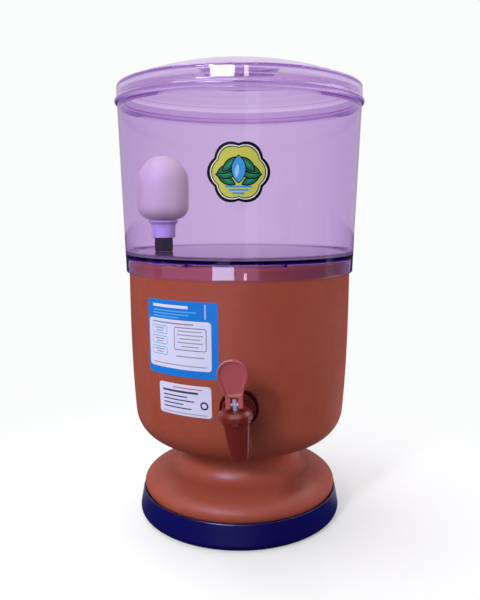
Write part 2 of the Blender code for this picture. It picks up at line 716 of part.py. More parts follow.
def drill(frame, name, radius, near, far, steps=SMALL_ROUND, height=0.0):
    """A round tool along the shank, between two distances outward from the wall."""
    return place(rod(name, radius, near, far, steps), frame, (0, 0, height), (90, 0, 0))


def cut_tap_hole(clay, frame):
    """Drill the reservoir's front for the tap's shank."""
    tool = drill(frame, "tap_hole_tool", SHANK_RADIUS + SHANK_HOLE_GAP, -3 * CLAY_WALL, CLAY_WALL)
    combine(clay, tool)


def tap_levels():
    """Heights of the barrel's pieces above the shank's axis."""
    cap_low = NECK_RADIUS + TOUCH
    cap_top = cap_low + CAP_HEIGHT
    seal_top = cap_top - CAP_WALL - TOUCH
    barrel_top = seal_top - SEAL_THICKNESS - TOUCH
    pin = cap_top + CAM_RADIUS + CAM_GAP
    return cap_low, cap_top, seal_top, barrel_top, pin


def make_tap_body(frame, barrel):
    """The tap's moulded body: shank, flange, neck, barrel and spout, with its water way."""
    _, _, _, barrel_top, _ = tap_levels()
    collar_low = NECK_RADIUS - COLLAR_HEIGHT
    step = (COLLAR_RADIUS - SPOUT_TOP_RADIUS) / 2
    outline = [(0.0, barrel_top), (BARREL_RADIUS, barrel_top), (BARREL_RADIUS, NECK_RADIUS)]
    outline += [(COLLAR_RADIUS, NECK_RADIUS), (COLLAR_RADIUS, collar_low)]
    outline += [(SPOUT_TOP_RADIUS, collar_low - step), (SPOUT_END_RADIUS, -SPOUT_LENGTH), (0.0, -SPOUT_LENGTH)]
    body = place(turned("tap_body", outline, MEDIUM_ROUND), barrel)

    face = OUTER_WASHER_THICKNESS + 2 * TOUCH
    back = -(CLAY_WALL + INNER_WASHER_THICKNESS + BACK_NUT_HEIGHT + SHANK_END + 3 * TOUCH)
    hub = face + FLANGE_THICKNESS
    arm = [(0.0, TAP_REACH), (NECK_RADIUS, TAP_REACH), (NECK_RADIUS, hub + NECK_HUB_LENGTH)]
    arm += [(NECK_HUB_RADIUS, hub), (FLANGE_RADIUS - FLANGE_THICKNESS / 3, hub)]
    arm += [(FLANGE_RADIUS, hub - FLANGE_THICKNESS / 3), (FLANGE_RADIUS, face), (SHANK_RADIUS, face)]
    arm += [(SHANK_RADIUS, back), (0.0, back)]
    arm_tool = place(turned("arm_tool", arm, MEDIUM_ROUND), frame, turn=(90, 0, 0))
    combine(body, arm_tool, "UNION")

    chamber = [(0.0, 2 * barrel_top), (BARREL_BORE, 2 * barrel_top), (BARREL_BORE, -SEAT_DEPTH)]
    chamber += [(OUTLET_BORE, -SEAT_DEPTH), (OUTLET_BORE, -2 * SPOUT_LENGTH), (0.0, -2 * SPOUT_LENGTH)]
    combine(body, place(turned("chamber_tool", chamber, MEDIUM_ROUND), barrel))
    combine(body, drill(frame, "shank_bore_tool", SHANK_BORE, 2 * back, TAP_REACH))
    return dress(body, RED_PLASTIC)


def make_tap_fixings(frame, vessel):
    """The two rubber washers, shaped to the clay wall, and the back nut."""
    bore = SHANK_RADIUS + THREAD_GAP
    low = TAP_HEIGHT - CLAY_SEAT - 2 * OUTER_WASHER_RADIUS
    high = TAP_HEIGHT - CLAY_SEAT + 2 * OUTER_WASHER_RADIUS
    outer = tube("tap_outer_washer", OUTER_WASHER_RADIUS, bore, -WASHER_FIT, OUTER_WASHER_THICKNESS + TOUCH,
                 MEDIUM_ROUND, OUTER_WASHER_THICKNESS / 4)
    place(outer, frame, turn=(90, 0, 0))
    combine(outer, place(wall_shell("outer_wall_tool", TOUCH, low, high), vessel))
    dress(outer, DARK_RUBBER)

    seat = -CLAY_WALL - INNER_WASHER_THICKNESS - TOUCH
    inner = tube("tap_inner_washer", INNER_WASHER_RADIUS, bore, seat, -CLAY_WALL + WASHER_FIT)
    place(inner, frame, turn=(90, 0, 0))
    inner_tool = place(wall_shell("inner_wall_tool", -CLAY_WALL - TOUCH, low, high), vessel)
    combine(inner, inner_tool, "INTERSECT")
    dress(inner, DARK_RUBBER)

    nut_front = seat - TOUCH
    nut = turned("tap_back_nut", [(0.0, nut_front), (BACK_NUT_RADIUS, nut_front),
                                  (BACK_NUT_RADIUS, nut_front - BACK_NUT_HEIGHT),
                                  (0.0, nut_front - BACK_NUT_HEIGHT)], 6)
    place(nut, frame, turn=(90, 0, 0))
    combine(nut, drill(frame, "back_nut_tool", bore, nut_front - 2 * BACK_NUT_HEIGHT, 0.0))
    dress(nut, RED_PLASTIC)


def make_cap_nut(barrel):
    """The faceted nut that closes the barrel, and the seal that it clamps."""
    cap_low, cap_top, seal_top, barrel_top, _ = tap_levels()
    outline = [(0.0, cap_top), (CAP_RADIUS - CAP_EDGE, cap_top), (CAP_RADIUS, cap_top - CAP_EDGE)]
    outline += [(CAP_RADIUS, cap_low + CAP_EDGE), (CAP_RADIUS - CAP_EDGE, cap_low), (0.0, cap_low)]
    cap = place(turned("tap_cap_nut", outline, CAP_FACETS), barrel)
    inside = [(0.0, cap_top - CAP_WALL), (BARREL_RADIUS + THREAD_GAP, cap_top - CAP_WALL)]
    inside += [(BARREL_RADIUS + THREAD_GAP, 0.0), (0.0, 0.0)]
    combine(cap, place(turned("cap_inside_tool", inside, MEDIUM_ROUND), barrel))
    combine(cap, place(rod("cap_hole_tool", CAP_HOLE, cap_low, 2 * cap_top), barrel))
    dress(cap, RED_PLASTIC)
    seal = tube("tap_seal", BARREL_RADIUS, SEAL_BORE, barrel_top + TOUCH, seal_top)
    dress(place(seal, barrel), SILICONE)


def make_stem(stem_frame, barrel):
    """The white stem with its eye for the lever's pin, and the plug that it lifts."""
    _, _, _, _, pin = tap_levels()
    plug_low = TOUCH - SEAT_DEPTH
    plug_top = plug_low + PLUG_HEIGHT
    rod_low = plug_top + TOUCH - pin
    waist = math.degrees(math.asin(STEM_TIP_RADIUS / EYE_RADIUS))
    foot = math.degrees(math.asin(STEM_ROD_RADIUS / EYE_RADIUS))
    outline = [(0.0, STEM_TIP_HEIGHT), (STEM_TIP_RADIUS, STEM_TIP_HEIGHT)]
    outline += arc((0.0, 0.0), EYE_RADIUS, 90 - waist, foot - 90, 6)
    outline += [(STEM_ROD_RADIUS, rod_low), (0.0, rod_low)]
    stem = place(turned("valve_stem", outline, PIN_ROUND), stem_frame)
    hole = rod("eye_tool", PIN_HOLE, -2 * EYE_RADIUS, 2 * EYE_RADIUS, PIN_ROUND)
    combine(stem, place(hole, stem_frame, turn=(0, 90, 0)))
    dress(stem, WHITE_PLASTIC)

    mouth = OUTLET_BORE - SLIDE_GAP
    plug = [(0.0, plug_top), (PLUG_NECK_RADIUS, plug_top), (PLUG_RADIUS, plug_low + PLUG_HEIGHT / 3)]
    plug += [(PLUG_RADIUS, plug_low), (mouth, plug_low), (mouth / 2, plug_low - PLUG_CONE)]
    plug.append((0.0, plug_low - PLUG_CONE))
    dress(place(turned("valve_plug", plug, SMALL_ROUND), barrel), SILICONE)


def paddle_outline():
    """The paddle's front outline: a round head on sides that narrow to the fork."""
    half = PADDLE_BASE_WIDTH / 2
    down = PADDLE_CENTRE - PADDLE_BASE
    far = math.hypot(half, down)
    tangent = math.degrees(math.acos(PADDLE_RADIUS / far) - math.atan2(down, half))
    head = arc((0.0, PADDLE_CENTRE), PADDLE_RADIUS, tangent, 180 - tangent, 14)
    return [(half, PADDLE_BASE)] + head + [(-half, PADDLE_BASE)]


def make_paddle(name):
    """The paddle, with a shallow dish in its front face."""
    bm = bmesh.new()
    half = PADDLE_THICKNESS / 2
    face = bm.faces.new([bm.verts.new((side, half, height)) for side, height in paddle_outline()])
    made = bmesh.ops.extrude_face_region(bm, geom=[face])
    front = [item for item in made["geom"] if isinstance(item, bmesh.types.BMFace)][0]
    bmesh.ops.translate(bm, verts=front.verts, vec=(0, -PADDLE_THICKNESS, 0))
    bmesh.ops.recalc_face_normals(bm, faces=bm.faces)
    bmesh.ops.inset_region(bm, faces=[front], thickness=PADDLE_RIM, depth=0.0)
    bmesh.ops.inset_region(bm, faces=[front], thickness=PADDLE_RIM / 2, depth=-PADDLE_DISH)
    return finished(name, bm)


def prong_outline():
    """A prong's side outline: a cam round the pin that grows towards the front."""
    half = PRONG_DEPTH / 2
    points = [(half, PADDLE_BASE + half), (CAM_RADIUS, 0.0)]
    for angle in range(-CAM_BACK, CAM_FRONT + 1, CAM_STEP):
        growth = CAM_LIFT * min(max(angle, 0.0), LEVER_SWING) / LEVER_SWING
        reach = CAM_RADIUS + growth
        turn = math.radians(angle)
        points.append((-reach * math.sin(turn), -reach * math.cos(turn)))
    return points + [(-half, PADDLE_BASE), (-half, PADDLE_BASE + half)]


def make_lever(lever_frame):
    """The lever: a paddle on a fork of two cams, and the pin through the stem's eye."""
    lever = place(make_paddle("tap_lever"), lever_frame)
    prong = (FORK_WIDTH - FORK_GAP) / 2
    for side in (-1, 1):
        tool = slab("prong_tool_%d" % side, prong_outline(), prong, "X")
        combine(lever, place(tool, lever_frame, (side * (FORK_GAP + prong) / 2, 0, 0)), "UNION")
    bar = rod("lever_hole_tool", PIN_HOLE, -FORK_WIDTH, FORK_WIDTH, PIN_ROUND)
    combine(lever, place(bar, lever_frame, turn=(0, 90, 0)))
    dress(lever, PALE_RED_PLASTIC)
    half = FORK_WIDTH / 2 - TOUCH
    pin = rod("lever_pin", PIN_RADIUS, -half, half, PIN_ROUND)
    dress(place(pin, lever_frame, turn=(0, 90, 0)), STEEL)


def make_tap(vessel, clay):
    """The whole tap, in a frame that follows the wall."""
    wall = clay_radius(TAP_HEIGHT - CLAY_SEAT)
    tap = frame_at("tap_frame", (TAP_SIDE, -wall, TAP_HEIGHT - CLAY_SEAT), vessel)
    tap.rotation_euler = [math.radians(angle) for angle in (TAP_PITCH, -TAP_LEAN, -TAP_YAW)]
    barrel = frame_at("barrel_frame", (0, -TAP_REACH, 0), tap)
    pin = tap_levels()[-1]
    stem_frame = frame_at("stem_frame", (0, 0, pin), barrel)
    lever_frame = frame_at("lever_frame", (0, 0, 0), stem_frame)
    cut_tap_hole(clay, tap)
    make_tap_body(tap, barrel)
    make_tap_fixings(tap, vessel)
    make_cap_nut(barrel)
    make_stem(stem_frame, barrel)
    make_lever(lever_frame)


def rectangle_columns(width, height, corner, steps=8):
    """A rectangle with round corners as columns of (across, half height)."""
    side = width / 2
    flat = side - corner
    places = [-side, corner / 2 - side]
    places += [-flat + 2 * flat * step / steps for step in range(steps + 1)]
    places += [side - corner / 2, side]
    columns = []
    for across in places:
        past = max(0.0, abs(across) - flat)
        columns.append((across, height / 2 - corner + math.sqrt(max(0.0, corner ** 2 - past ** 2))))
    return columns


def rosette_columns(radius, lobes, depth, steps=36):
    """A round badge with lobes as columns of (across, half height)."""
    columns = []
    for step in range(steps + 1):
        angle = math.pi * (1 - step / steps)
        reach = radius - depth + 2 * depth * abs(math.cos(lobes * angle / 2))
        columns.append((reach * math.cos(angle), reach * math.sin(angle)))
    return columns


def sticker(name, columns, azimuth, middle, radius_at, finish, parent, rows=4):
    """A thin sheet wrapped on a wall, as columns of points that follow its curve."""
    bm = bmesh.new()
    layers = []
    for offset in (TOUCH, TOUCH + STICKER_THICKNESS):
        grid = []
        for across, half in columns:
            column = []
            for row in range(rows + 1):
                z = middle - half + 2 * half * row / rows
                radius = radius_at(z) + offset
                angle = math.radians(azimuth) + across / radius
                column.append(bm.verts.new((radius * math.sin(angle), -radius * math.cos(angle), z)))
            grid.append(column)
        layers.append(grid)
        for left, right in zip(grid, grid[1:]):
            for row in range(rows):
                bm.faces.new((left[row], right[row], right[row + 1], left[row + 1]))
    edges = [[column[0] for column in grid] + grid[-1][1:] + [column[-1] for column in grid[-2::-1]]
             + grid[0][-2:0:-1] for grid in layers]
    count = len(edges[0])
    for here in range(count):
        there = (here + 1) % count
        bm.faces.new((edges[0][here], edges[0][there], edges[1][there], edges[1][here]))
    return dress(place(finished(name, bm), parent), finish)


def make_stickers(vessel, container):
    """Two labels on the clay wall and a badge on the clear wall."""
    top = CLAY_HEIGHT - LABEL_DROP
    columns = rectangle_columns(PERFORMANCE_WIDTH, PERFORMANCE_HEIGHT, STICKER_CORNER)
    sticker("performance_sticker", columns, PERFORMANCE_AZIMUTH, top - PERFORMANCE_HEIGHT / 2,
            wall_radius, BLUE_PAPER, vessel)
    top -= PERFORMANCE_HEIGHT + LABEL_GAP
    columns = rectangle_columns(PRODUCT_WIDTH, PRODUCT_HEIGHT, STICKER_CORNER)
    sticker("product_sticker", columns, PRODUCT_AZIMUTH, top - PRODUCT_HEIGHT / 2,
            wall_radius, WHITE_PAPER, vessel)
    columns = rosette_columns(BADGE_RADIUS, BADGE_LOBES, BADGE_LOBE_DEPTH)
    sticker("badge_sticker", columns, BADGE_AZIMUTH, BADGE_HEIGHT, box_radius, YELLOW_FILM, container)


def main():
    """Build the filter from the ground up."""
    clear_scene()
    make_dish()
    vessel = frame_at("vessel_frame", (0, 0, CLAY_SEAT))
    clay = make_reservoir(vessel)
    make_tap(vessel, clay)
    container = frame_at("container_frame", (0, 0, BOX_SEAT))
    candle = frame_at("candle_frame", (*CANDLE_PLACE, FLOOR_THICKNESS), container)
    float_frame = frame_at("float_frame", (0, 0, 0), candle)
    make_container(container, candle)
    hub_top, outlet = make_candle(candle)
    make_float_valve(candle, float_frame, hub_top, outlet)
    make_lid(frame_at("lid_frame", (0, 0, LID_SEAT)))
    make_stickers(vessel, container)


main()
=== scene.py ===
import logging
import math
from dataclasses import dataclass, field
from enum import Enum
from functools import lru_cache
from typing import Callable, Union

import bmesh
import bpy
from mathutils import Euler, Matrix, Vector


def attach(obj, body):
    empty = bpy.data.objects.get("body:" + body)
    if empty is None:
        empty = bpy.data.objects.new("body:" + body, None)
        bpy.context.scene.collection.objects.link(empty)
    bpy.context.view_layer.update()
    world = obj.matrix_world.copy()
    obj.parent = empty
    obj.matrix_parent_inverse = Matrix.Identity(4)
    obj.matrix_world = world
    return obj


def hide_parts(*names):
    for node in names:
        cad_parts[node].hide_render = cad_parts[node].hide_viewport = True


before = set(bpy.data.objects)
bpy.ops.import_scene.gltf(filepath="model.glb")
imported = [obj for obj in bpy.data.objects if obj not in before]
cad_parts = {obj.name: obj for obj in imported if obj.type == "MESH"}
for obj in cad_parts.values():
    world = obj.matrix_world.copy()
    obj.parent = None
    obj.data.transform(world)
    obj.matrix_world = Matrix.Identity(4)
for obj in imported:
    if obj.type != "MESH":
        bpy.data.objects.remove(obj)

LOG = logging.getLogger("water_filter")

Point = tuple[float, float]
Outline = list[Point]
Colour = tuple[float, float, float]
Thing = bpy.types.Object
Material = bpy.types.Material
Link = bpy.types.NodeSocket
Socket = Union[Link, float, tuple]

# Gaps between pieces, and the heights that the main pieces stand at
TOUCH = 0.0003
THREAD_GAP = 0.0004
SLIDE_GAP = 0.0004
CLAY_SEAT = 0.0033
BOX_SEAT = 0.2641
LID_SEAT = 0.409

# Steps round an axis
LARGE_ROUND = 160
MEDIUM_ROUND = 64
SMALL_ROUND = 40
PIN_ROUND = 32

# Angles in degrees past which an edge stays sharp
SHARP = 35.0
SHARP_TAP = 30.0
SHARP_FACET = 25.0

# Points nearer than this are one
SAME_POINT = 1e-6
SAME_VERTEX = 1e-7

# Rings that keep a long straight stretch flat right up to its bends
LONG_STRETCH = 0.0025
BRACE = 0.0004
BEND = 4.0


class Body(Enum):
    """The moving bodies of the model that pieces ride on."""

    DISH = "dish"
    RESERVOIR = "reservoir"
    STEM = "valve_stem"
    LEVER = "tap_lever"
    CONTAINER = "upper_container"
    FLOAT = "float"
    LID = "lid"


class Cut(Enum):
    """What a tool does to the piece that it meets."""

    JOIN = "UNION"
    REMOVE = "DIFFERENCE"
    KEEP = "INTERSECT"


# Outlines and places


def shift(x: float = 0.0, y: float = 0.0, z: float = 0.0) -> Matrix:
    """A move without a turn."""
    return Matrix.Translation((x, y, z))


def turn(degrees: float, axis: str) -> Matrix:
    """A turn about an axis through the origin."""
    return Matrix.Rotation(math.radians(degrees), 4, axis)


def spread(low: float, high: float, steps: int) -> list[float]:
    """Evenly spaced numbers from low to high, both included."""
    return [low + (high - low) * step / steps for step in range(steps + 1)]


def oval(centre: Point, half_width: float, half_height: float, start: float, end: float,
         steps: int) -> Outline:
    """Points on part of an upright ellipse.

    Args:
        centre: Its middle, as (radius, height).
        half_width: Half its size along the radius.
        half_height: Half its size along the height.
        start: First angle in degrees, from +radius towards +height.
        end: Last angle in degrees.
        steps: Number of stretches between points.

    Returns:
        The points in order.
    """
    angles = [math.radians(angle) for angle in spread(start, end, steps)]
    return [(centre[0] + half_width * math.cos(angle), centre[1] + half_height * math.sin(angle))
            for angle in angles]


def arc(centre: Point, radius: float, start: float, end: float, steps: int) -> Outline:
    """Points on an arc, as `oval` gives them for a circle."""
    return oval(centre, radius, radius, start, end, steps)


def cap_line(centre: float, radius: float, start: float, end: float, steps: int,
             hollow: bool = False) -> Outline:
    """Points on a sphere's section between two distances from the axis.

    Args:
        centre: Height of the sphere's centre.
        radius: The sphere's radius.
        start: First distance from the axis.
        end: Last distance from the axis.
        steps: Number of stretches between points.
        hollow: Whether the line is the sphere's lower side, as in a bowl.

    Returns:
        The points in order.
    """
    side = -1.0 if hollow else 1.0
    return [(across, centre + side * math.sqrt(radius ** 2 - across ** 2))
            for across in spread(start, end, steps)]


def rod_line(radius: float, low: float, high: float) -> Outline:
    """Section of a plain rod between two heights, from axis to axis."""
    return [(0.0, high), (radius, high), (radius, low), (0.0, low)]


def ring_line(inner: float, outer: float, low: float, high: float, soft: float) -> Outline:
    """Section of a ring or disc whose outer edges are bevelled, from low inside to high inside."""
    return [(inner, low), (outer - soft, low), (outer, low + soft),
            (outer, high - soft), (outer - soft, high), (inner, high)]


def soft_line(inner: float, outer: float, low: float, high: float, soft: float, steps: int) -> Outline:
    """Section of a ring or disc whose outer edges are round, from low inside to high inside."""
    line = [(inner, low)] + arc((outer - soft, low + soft), soft, -90, 0, steps)
    return line + arc((outer - soft, high - soft), soft, 0, 90, steps) + [(inner, high)]


def tidy(outline: Outline) -> Outline:
    """Leave out points that repeat the one before.

    Args:
        outline: Points of (radius, height).

    Returns:
        The points that are left.
    """
    kept = [outline[0]]
    for point in outline[1:]:
        if math.dist(point, kept[-1]) > SAME_POINT:
            kept.append(point)
    return kept


def bend(before: Point, here: Point, after: Point) -> float:
    """Degrees that an outline turns by at a point, from 0 for a straight run."""
    first, second = (math.atan2(b[1] - a[1], b[0] - a[0]) for a, b in ((before, here), (here, after)))
    return abs(math.degrees(math.remainder(second - first, math.tau)))


def braced(outline: Outline, closed: bool) -> Outline:
    """Add a point just inside each end of a long stretch that meets a bend.

    Args:
        outline: Points of (radius, height).
        closed: Whether the outline closes on itself.

    Returns:
        The outline with the added points.
    """
    count = len(outline)
    line = []
    for here, first in enumerate(outline):
        line.append(first)
        last = outline[(here + 1) % count]
        length = math.dist(first, last)
        if length < LONG_STRETCH or (here == count - 1 and not closed):
            continue
        for end, share in ((here, BRACE / length), (here + 1, 1 - BRACE / length)):
            middle = closed or 0 < end < count - 1
            around = outline[end - 1], outline[end % count], outline[(end + 1) % count]
            if middle and bend(*around) > BEND:
                line.append(tuple(a + (b - a) * share for a, b in zip(first, last)))
    return line


# Meshes


class Form:
    """A mesh in the making: a bmesh and the operators that shape it."""

    def __init__(self) -> None:
        """Start with an empty mesh."""
        self.bm = bmesh.new()

    @classmethod
    def turned(cls, outline: Outline, steps: int, closed: bool = False) -> "Form":
        """Spin an outline about Z.

        Args:
            outline: Points of (radius, height).
            steps: Steps round the axis.
            closed: Whether the outline closes on itself, as a ring's does.

        Returns:
            The turned form.
        """
        form = cls()
        line = braced(tidy(outline), closed)
        verts = [form.bm.verts.new((radius, 0.0, height)) for radius, height in line]
        pairs = list(zip(verts, verts[1:]))
        if closed:
            pairs.append((verts[-1], verts[0]))
        edges = [form.bm.edges.new(pair) for pair in pairs]
        bmesh.ops.spin(form.bm, geom=verts + edges, cent=(0, 0, 0), axis=(0, 0, 1),
                       angle=math.tau, steps=steps, use_merge=True)
        return form.clean()

    @classmethod
    def plate(cls, outline: Outline, thickness: float) -> "Form":
        """Extrude an outline of (X, Z) across Y, evenly to both sides.

        Args:
            outline: Corners of the plate's face.
            thickness: Size along Y.

        Returns:
            The plate.
        """
        form = cls()
        verts = [form.bm.verts.new((across, thickness / 2, height)) for across, height in outline]
        form.bm.faces.new(verts)
        return form.thickened(thickness).clean()

    @classmethod
    def prism(cls, sides: int, radius: float, low: float, high: float) -> "Form":
        """A straight bar with flat sides.

        Args:
            sides: Number of its sides.
            radius: Distance from its axis to its corners.
            low: Height of its lower end.
            high: Height of its upper end.

        Returns:
            The bar.
        """
        form = cls()
        bmesh.ops.create_cone(form.bm, cap_ends=True, segments=sides, radius1=radius,
                              radius2=radius, depth=high - low)
        return form.moved(shift(z=(low + high) / 2))

    def thickened(self, thickness: float) -> "Form":
        """Extrude every face towards -Y.

        Args:
            thickness: How far.

        Returns:
            The same form.
        """
        made = bmesh.ops.extrude_face_region(self.bm, geom=self.bm.faces[:])
        moved = [item for item in made["geom"] if isinstance(item, bmesh.types.BMVert)]
        bmesh.ops.translate(self.bm, verts=moved, vec=(0, -thickness, 0))
        return self

    def clean(self) -> "Form":
        """Merge doubles and point every face outwards.

        Returns:
            The same form.
        """
        bmesh.ops.remove_doubles(self.bm, verts=self.bm.verts, dist=SAME_VERTEX)
        bmesh.ops.recalc_face_normals(self.bm, faces=self.bm.faces)
        return self

    def moved(self, matrix: Matrix) -> "Form":
        """Move the whole form by a matrix."""
        bmesh.ops.transform(self.bm, matrix=matrix, verts=self.bm.verts)
        return self

    def rounded(self, width: float, segments: int = 2, angle: float = 40.0,
                wanted: Callable[[bmesh.types.BMEdge], bool] = lambda edge: True) -> "Form":
        """Bevel the edges that are sharper than an angle.

        Args:
            width: Width of the bevel.
            segments: Faces across it.
            angle: Smallest angle between faces, in degrees.
            wanted: Test that picks among those edges.

        Returns:
            The same form.
        """
        sharp = [edge for edge in self.bm.edges if len(edge.link_faces) == 2
                 and edge.calc_face_angle() > math.radians(angle) and wanted(edge)]
        bmesh.ops.bevel(self.bm, geom=sharp, offset=width, offset_type="OFFSET", segments=segments,
                        profile=0.5, affect="EDGES", clamp_overlap=True, material=-1)
        return self

    def piece(self, name: str, sharp: float = SHARP) -> Thing:
        """Turn the form into a smooth-shaded object at the origin.

        Args:
            name: The object's name.
            sharp: Angle in degrees past which an edge stays sharp.

        Returns:
            The object, linked to the scene.
        """
        mesh = bpy.data.meshes.new(name)
        self.bm.to_mesh(mesh)
        self.bm.free()
        mesh.shade_smooth()
        mesh.set_sharp_from_angle(angle=math.radians(sharp))
        thing = bpy.data.objects.new(name, mesh)
        bpy.context.collection.objects.link(thing)
        return thing


def is_upright(edge: bmesh.types.BMEdge) -> bool:
    """Whether an edge runs along Z rather than across it."""
    first, second = edge.verts
    return abs(first.co.z - second.co.z) > 0.5 * (first.co - second.co).length


def combine(target: Thing, tool: Form, cut: Cut, sharp: float = SHARP) -> Thing:
    """Join a form to an object or cut the object with it, and keep the result as its mesh.

    Args:
        target: The object to change.
        tool: The form that joins or cuts it.
        cut: What the tool does.
        sharp: Angle in degrees past which an edge stays sharp.

    Returns:
        The changed object.
    """
    helper = tool.piece(target.name + "_tool")
    modifier = target.modifiers.new("tool", "BOOLEAN")
    modifier.object = helper
    modifier.operation = cut.value
    modifier.solver = "EXACT"
    graph = bpy.context.evaluated_depsgraph_get()
    mesh = bpy.data.meshes.new_from_object(target.evaluated_get(graph))
    target.modifiers.clear()
    spent = [target.data, helper.data]
    target.data = mesh
    bpy.data.objects.remove(helper, do_unlink=True)
    for old in spent:
        bpy.data.meshes.remove(old)
    mesh.shade_smooth()
    mesh.set_sharp_from_angle(angle=math.radians(sharp))
    return target


# Shader nodes and the effects that finishes share


def rgba(colour: Socket) -> Socket:
    """A colour with its fourth part, or the link as it is."""
    whole = isinstance(colour, Link) or len(colour) == 4
    return colour if whole else (*colour, 1.0)


class Tree:
    """A node tree with short calls for the nodes that the finishes need."""

    def __init__(self, tree: bpy.types.NodeTree) -> None:
        """Work on a material's, group's or world's nodes."""
        self.tree = tree
        self.nodes = tree.nodes

    def socket(self, name: str, side: str, kind: str) -> None:
        """Give a node group an input or an output."""
        self.tree.interface.new_socket(name=name, in_out=side, socket_type="NodeSocket" + kind)

    def feed(self, socket: Link, value: Socket) -> None:
        """Link a socket to another, or set its value.

        Args:
            socket: The input to feed.
            value: What goes in.
        """
        if isinstance(value, Link):
            self.tree.links.new(value, socket)
        else:
            socket.default_value = value

    def fill(self, node: bpy.types.Node, inputs: dict[Union[str, int], Socket]) -> bpy.types.Node:
        """Feed several inputs of a node, by name or number.

        Args:
            node: The node.
            inputs: What goes into each input.

        Returns:
            The same node.
        """
        for name, value in inputs.items():
            self.feed(node.inputs[name], value)
        return node

    def add(self, kind: str, inputs: dict[Union[str, int], Socket], **settings) -> bpy.types.Node:
        """Add a node.

        Args:
            kind: Its type, without the ShaderNode that every type starts with.
            inputs: Values or links by the input's name or number.
            **settings: Properties of the node.

        Returns:
            The node.
        """
        node = self.nodes.new("ShaderNode" + kind)
        for name, value in settings.items():
            setattr(node, name, value)
        return self.fill(node, inputs)

    def math(self, operation: str, *values: Socket, clamp: bool = False) -> Link:
        """A Math node's result."""
        return self.add("Math", dict(enumerate(values)), operation=operation, use_clamp=clamp).outputs[0]

    def times(self, first: Socket, second: Socket, clamp: bool = False) -> Link:
        """Two numbers multiplied."""
        return self.math("MULTIPLY", first, second, clamp=clamp)

    def scaled(self, value: Socket, factor: Socket, start: Socket) -> Link:
        """A number times a factor, added to a start."""
        return self.math("MULTIPLY_ADD", value, factor, start)

    def vector(self, operation: str, first: Socket, second: Socket = (0.0, 0.0, 0.0)) -> Link:
        """A Vector Math node's result, which is a number for LENGTH."""
        node = self.add("VectorMath", {0: first, 1: second}, operation=operation)
        return node.outputs["Value" if operation == "LENGTH" else "Vector"]

    def split(self, place: Socket) -> tuple[Link, ...]:
        """The three parts of a vector."""
        return tuple(self.add("SeparateXYZ", {0: place}).outputs)

    def ramp(self, value: Socket, low: Socket, high: Socket, to_low: float = 0.0, to_high: float = 1.0,
             smooth: bool = True) -> Link:
        """A value moved from one range to another, held at the ends.

        Args:
            value: The value.
            low: Value that becomes to_low.
            high: Value that becomes to_high.
            to_low: Result at low.
            to_high: Result at high.
            smooth: Whether the ends are eased, and not straight.

        Returns:
            The result.
        """
        node = self.add("MapRange", {0: value, 1: low, 2: high, 3: to_low, 4: to_high},
                        interpolation_type="SMOOTHSTEP" if smooth else "LINEAR", clamp=True)
        return node.outputs[0]

    def noise(self, place: Socket, scale: float, detail: float = 2.0, roughness: float = 0.5) -> Link:
        """A noise texture's value."""
        inputs = {"Vector": place, "Scale": scale, "Detail": detail, "Roughness": roughness}
        return self.add("TexNoise", inputs).outputs[0]

    def streaks(self, place: Socket, stretch: tuple[float, float, float], scale: float = 1.0,
                detail: float = 2.0, roughness: float = 0.5) -> Link:
        """A noise texture's value that is stretched along the axes."""
        return self.noise(self.vector("MULTIPLY", place, stretch), scale, detail, roughness)

    def blend(self, share: Socket, first: Socket, second: Socket) -> Link:
        """A mix of two colours."""
        inputs = {0: share, 6: rgba(first), 7: rgba(second)}
        return self.add("Mix", inputs, data_type="RGBA").outputs[2]

    def group(self, tree: bpy.types.NodeTree, inputs: dict[str, Socket]) -> dict[str, Link]:
        """Place a node group with its own values, and give its outputs by name."""
        node = self.add("Group", {}, node_tree=tree)
        return dict(self.fill(node, inputs).outputs.items())

    def bump(self, height: Socket, distance: float, strength: float = 1.0, normal: Socket = None) -> Link:
        """A Bump node's normal.

        Args:
            height: Height from 0 to 1.
            distance: What its full range is worth, in metres.
            strength: Share of the bump that is used.
            normal: A normal to start from.

        Returns:
            The normal.
        """
        inputs = {"Height": height, "Distance": distance, "Strength": strength}
        if normal is not None:
            inputs["Normal"] = normal
        return self.add("Bump", inputs).outputs[0]

    def mix_shaders(self, share: Socket, first: bpy.types.Node, second: bpy.types.Node) -> bpy.types.Node:
        """A mix of two shaders."""
        return self.add("MixShader", {0: share, 1: first.outputs[0], 2: second.outputs[0]})

    def glow(self, colour: Socket) -> bpy.types.Node:
        """An even glow of a colour."""
        return self.add("Emission", {"Color": rgba(colour), "Strength": 1.0})


def new_group(name: str, inputs: dict[str, Union[None, float]]) -> tuple[Tree, dict[str, Link]]:
    """Start a node group.

    Args:
        name: The group's name.
        inputs: First value of each number that goes in, or None for a vector.

    Returns:
        The group's tree, and its inputs as links to take from.
    """
    make = Tree(bpy.data.node_groups.new(name, "ShaderNodeTree"))
    for label, value in inputs.items():
        make.socket(label, "INPUT", "Vector" if value is None else "Float")
        if value is not None:
            make.tree.interface.items_tree[label].default_value = value
    start = make.nodes.new("NodeGroupInput")
    return make, {label: start.outputs[label] for label in inputs}


def end_group(make: Tree, marks: dict[str, Link]) -> bpy.types.NodeTree:
    """Finish a node group.

    Args:
        make: The group's tree.
        marks: The links that feed its outputs, by name.

    Returns:
        The group.
    """
    for label in marks:
        make.socket(label, "OUTPUT", "Float")
    make.fill(make.nodes.new("NodeGroupOutput"), marks)
    return make.tree


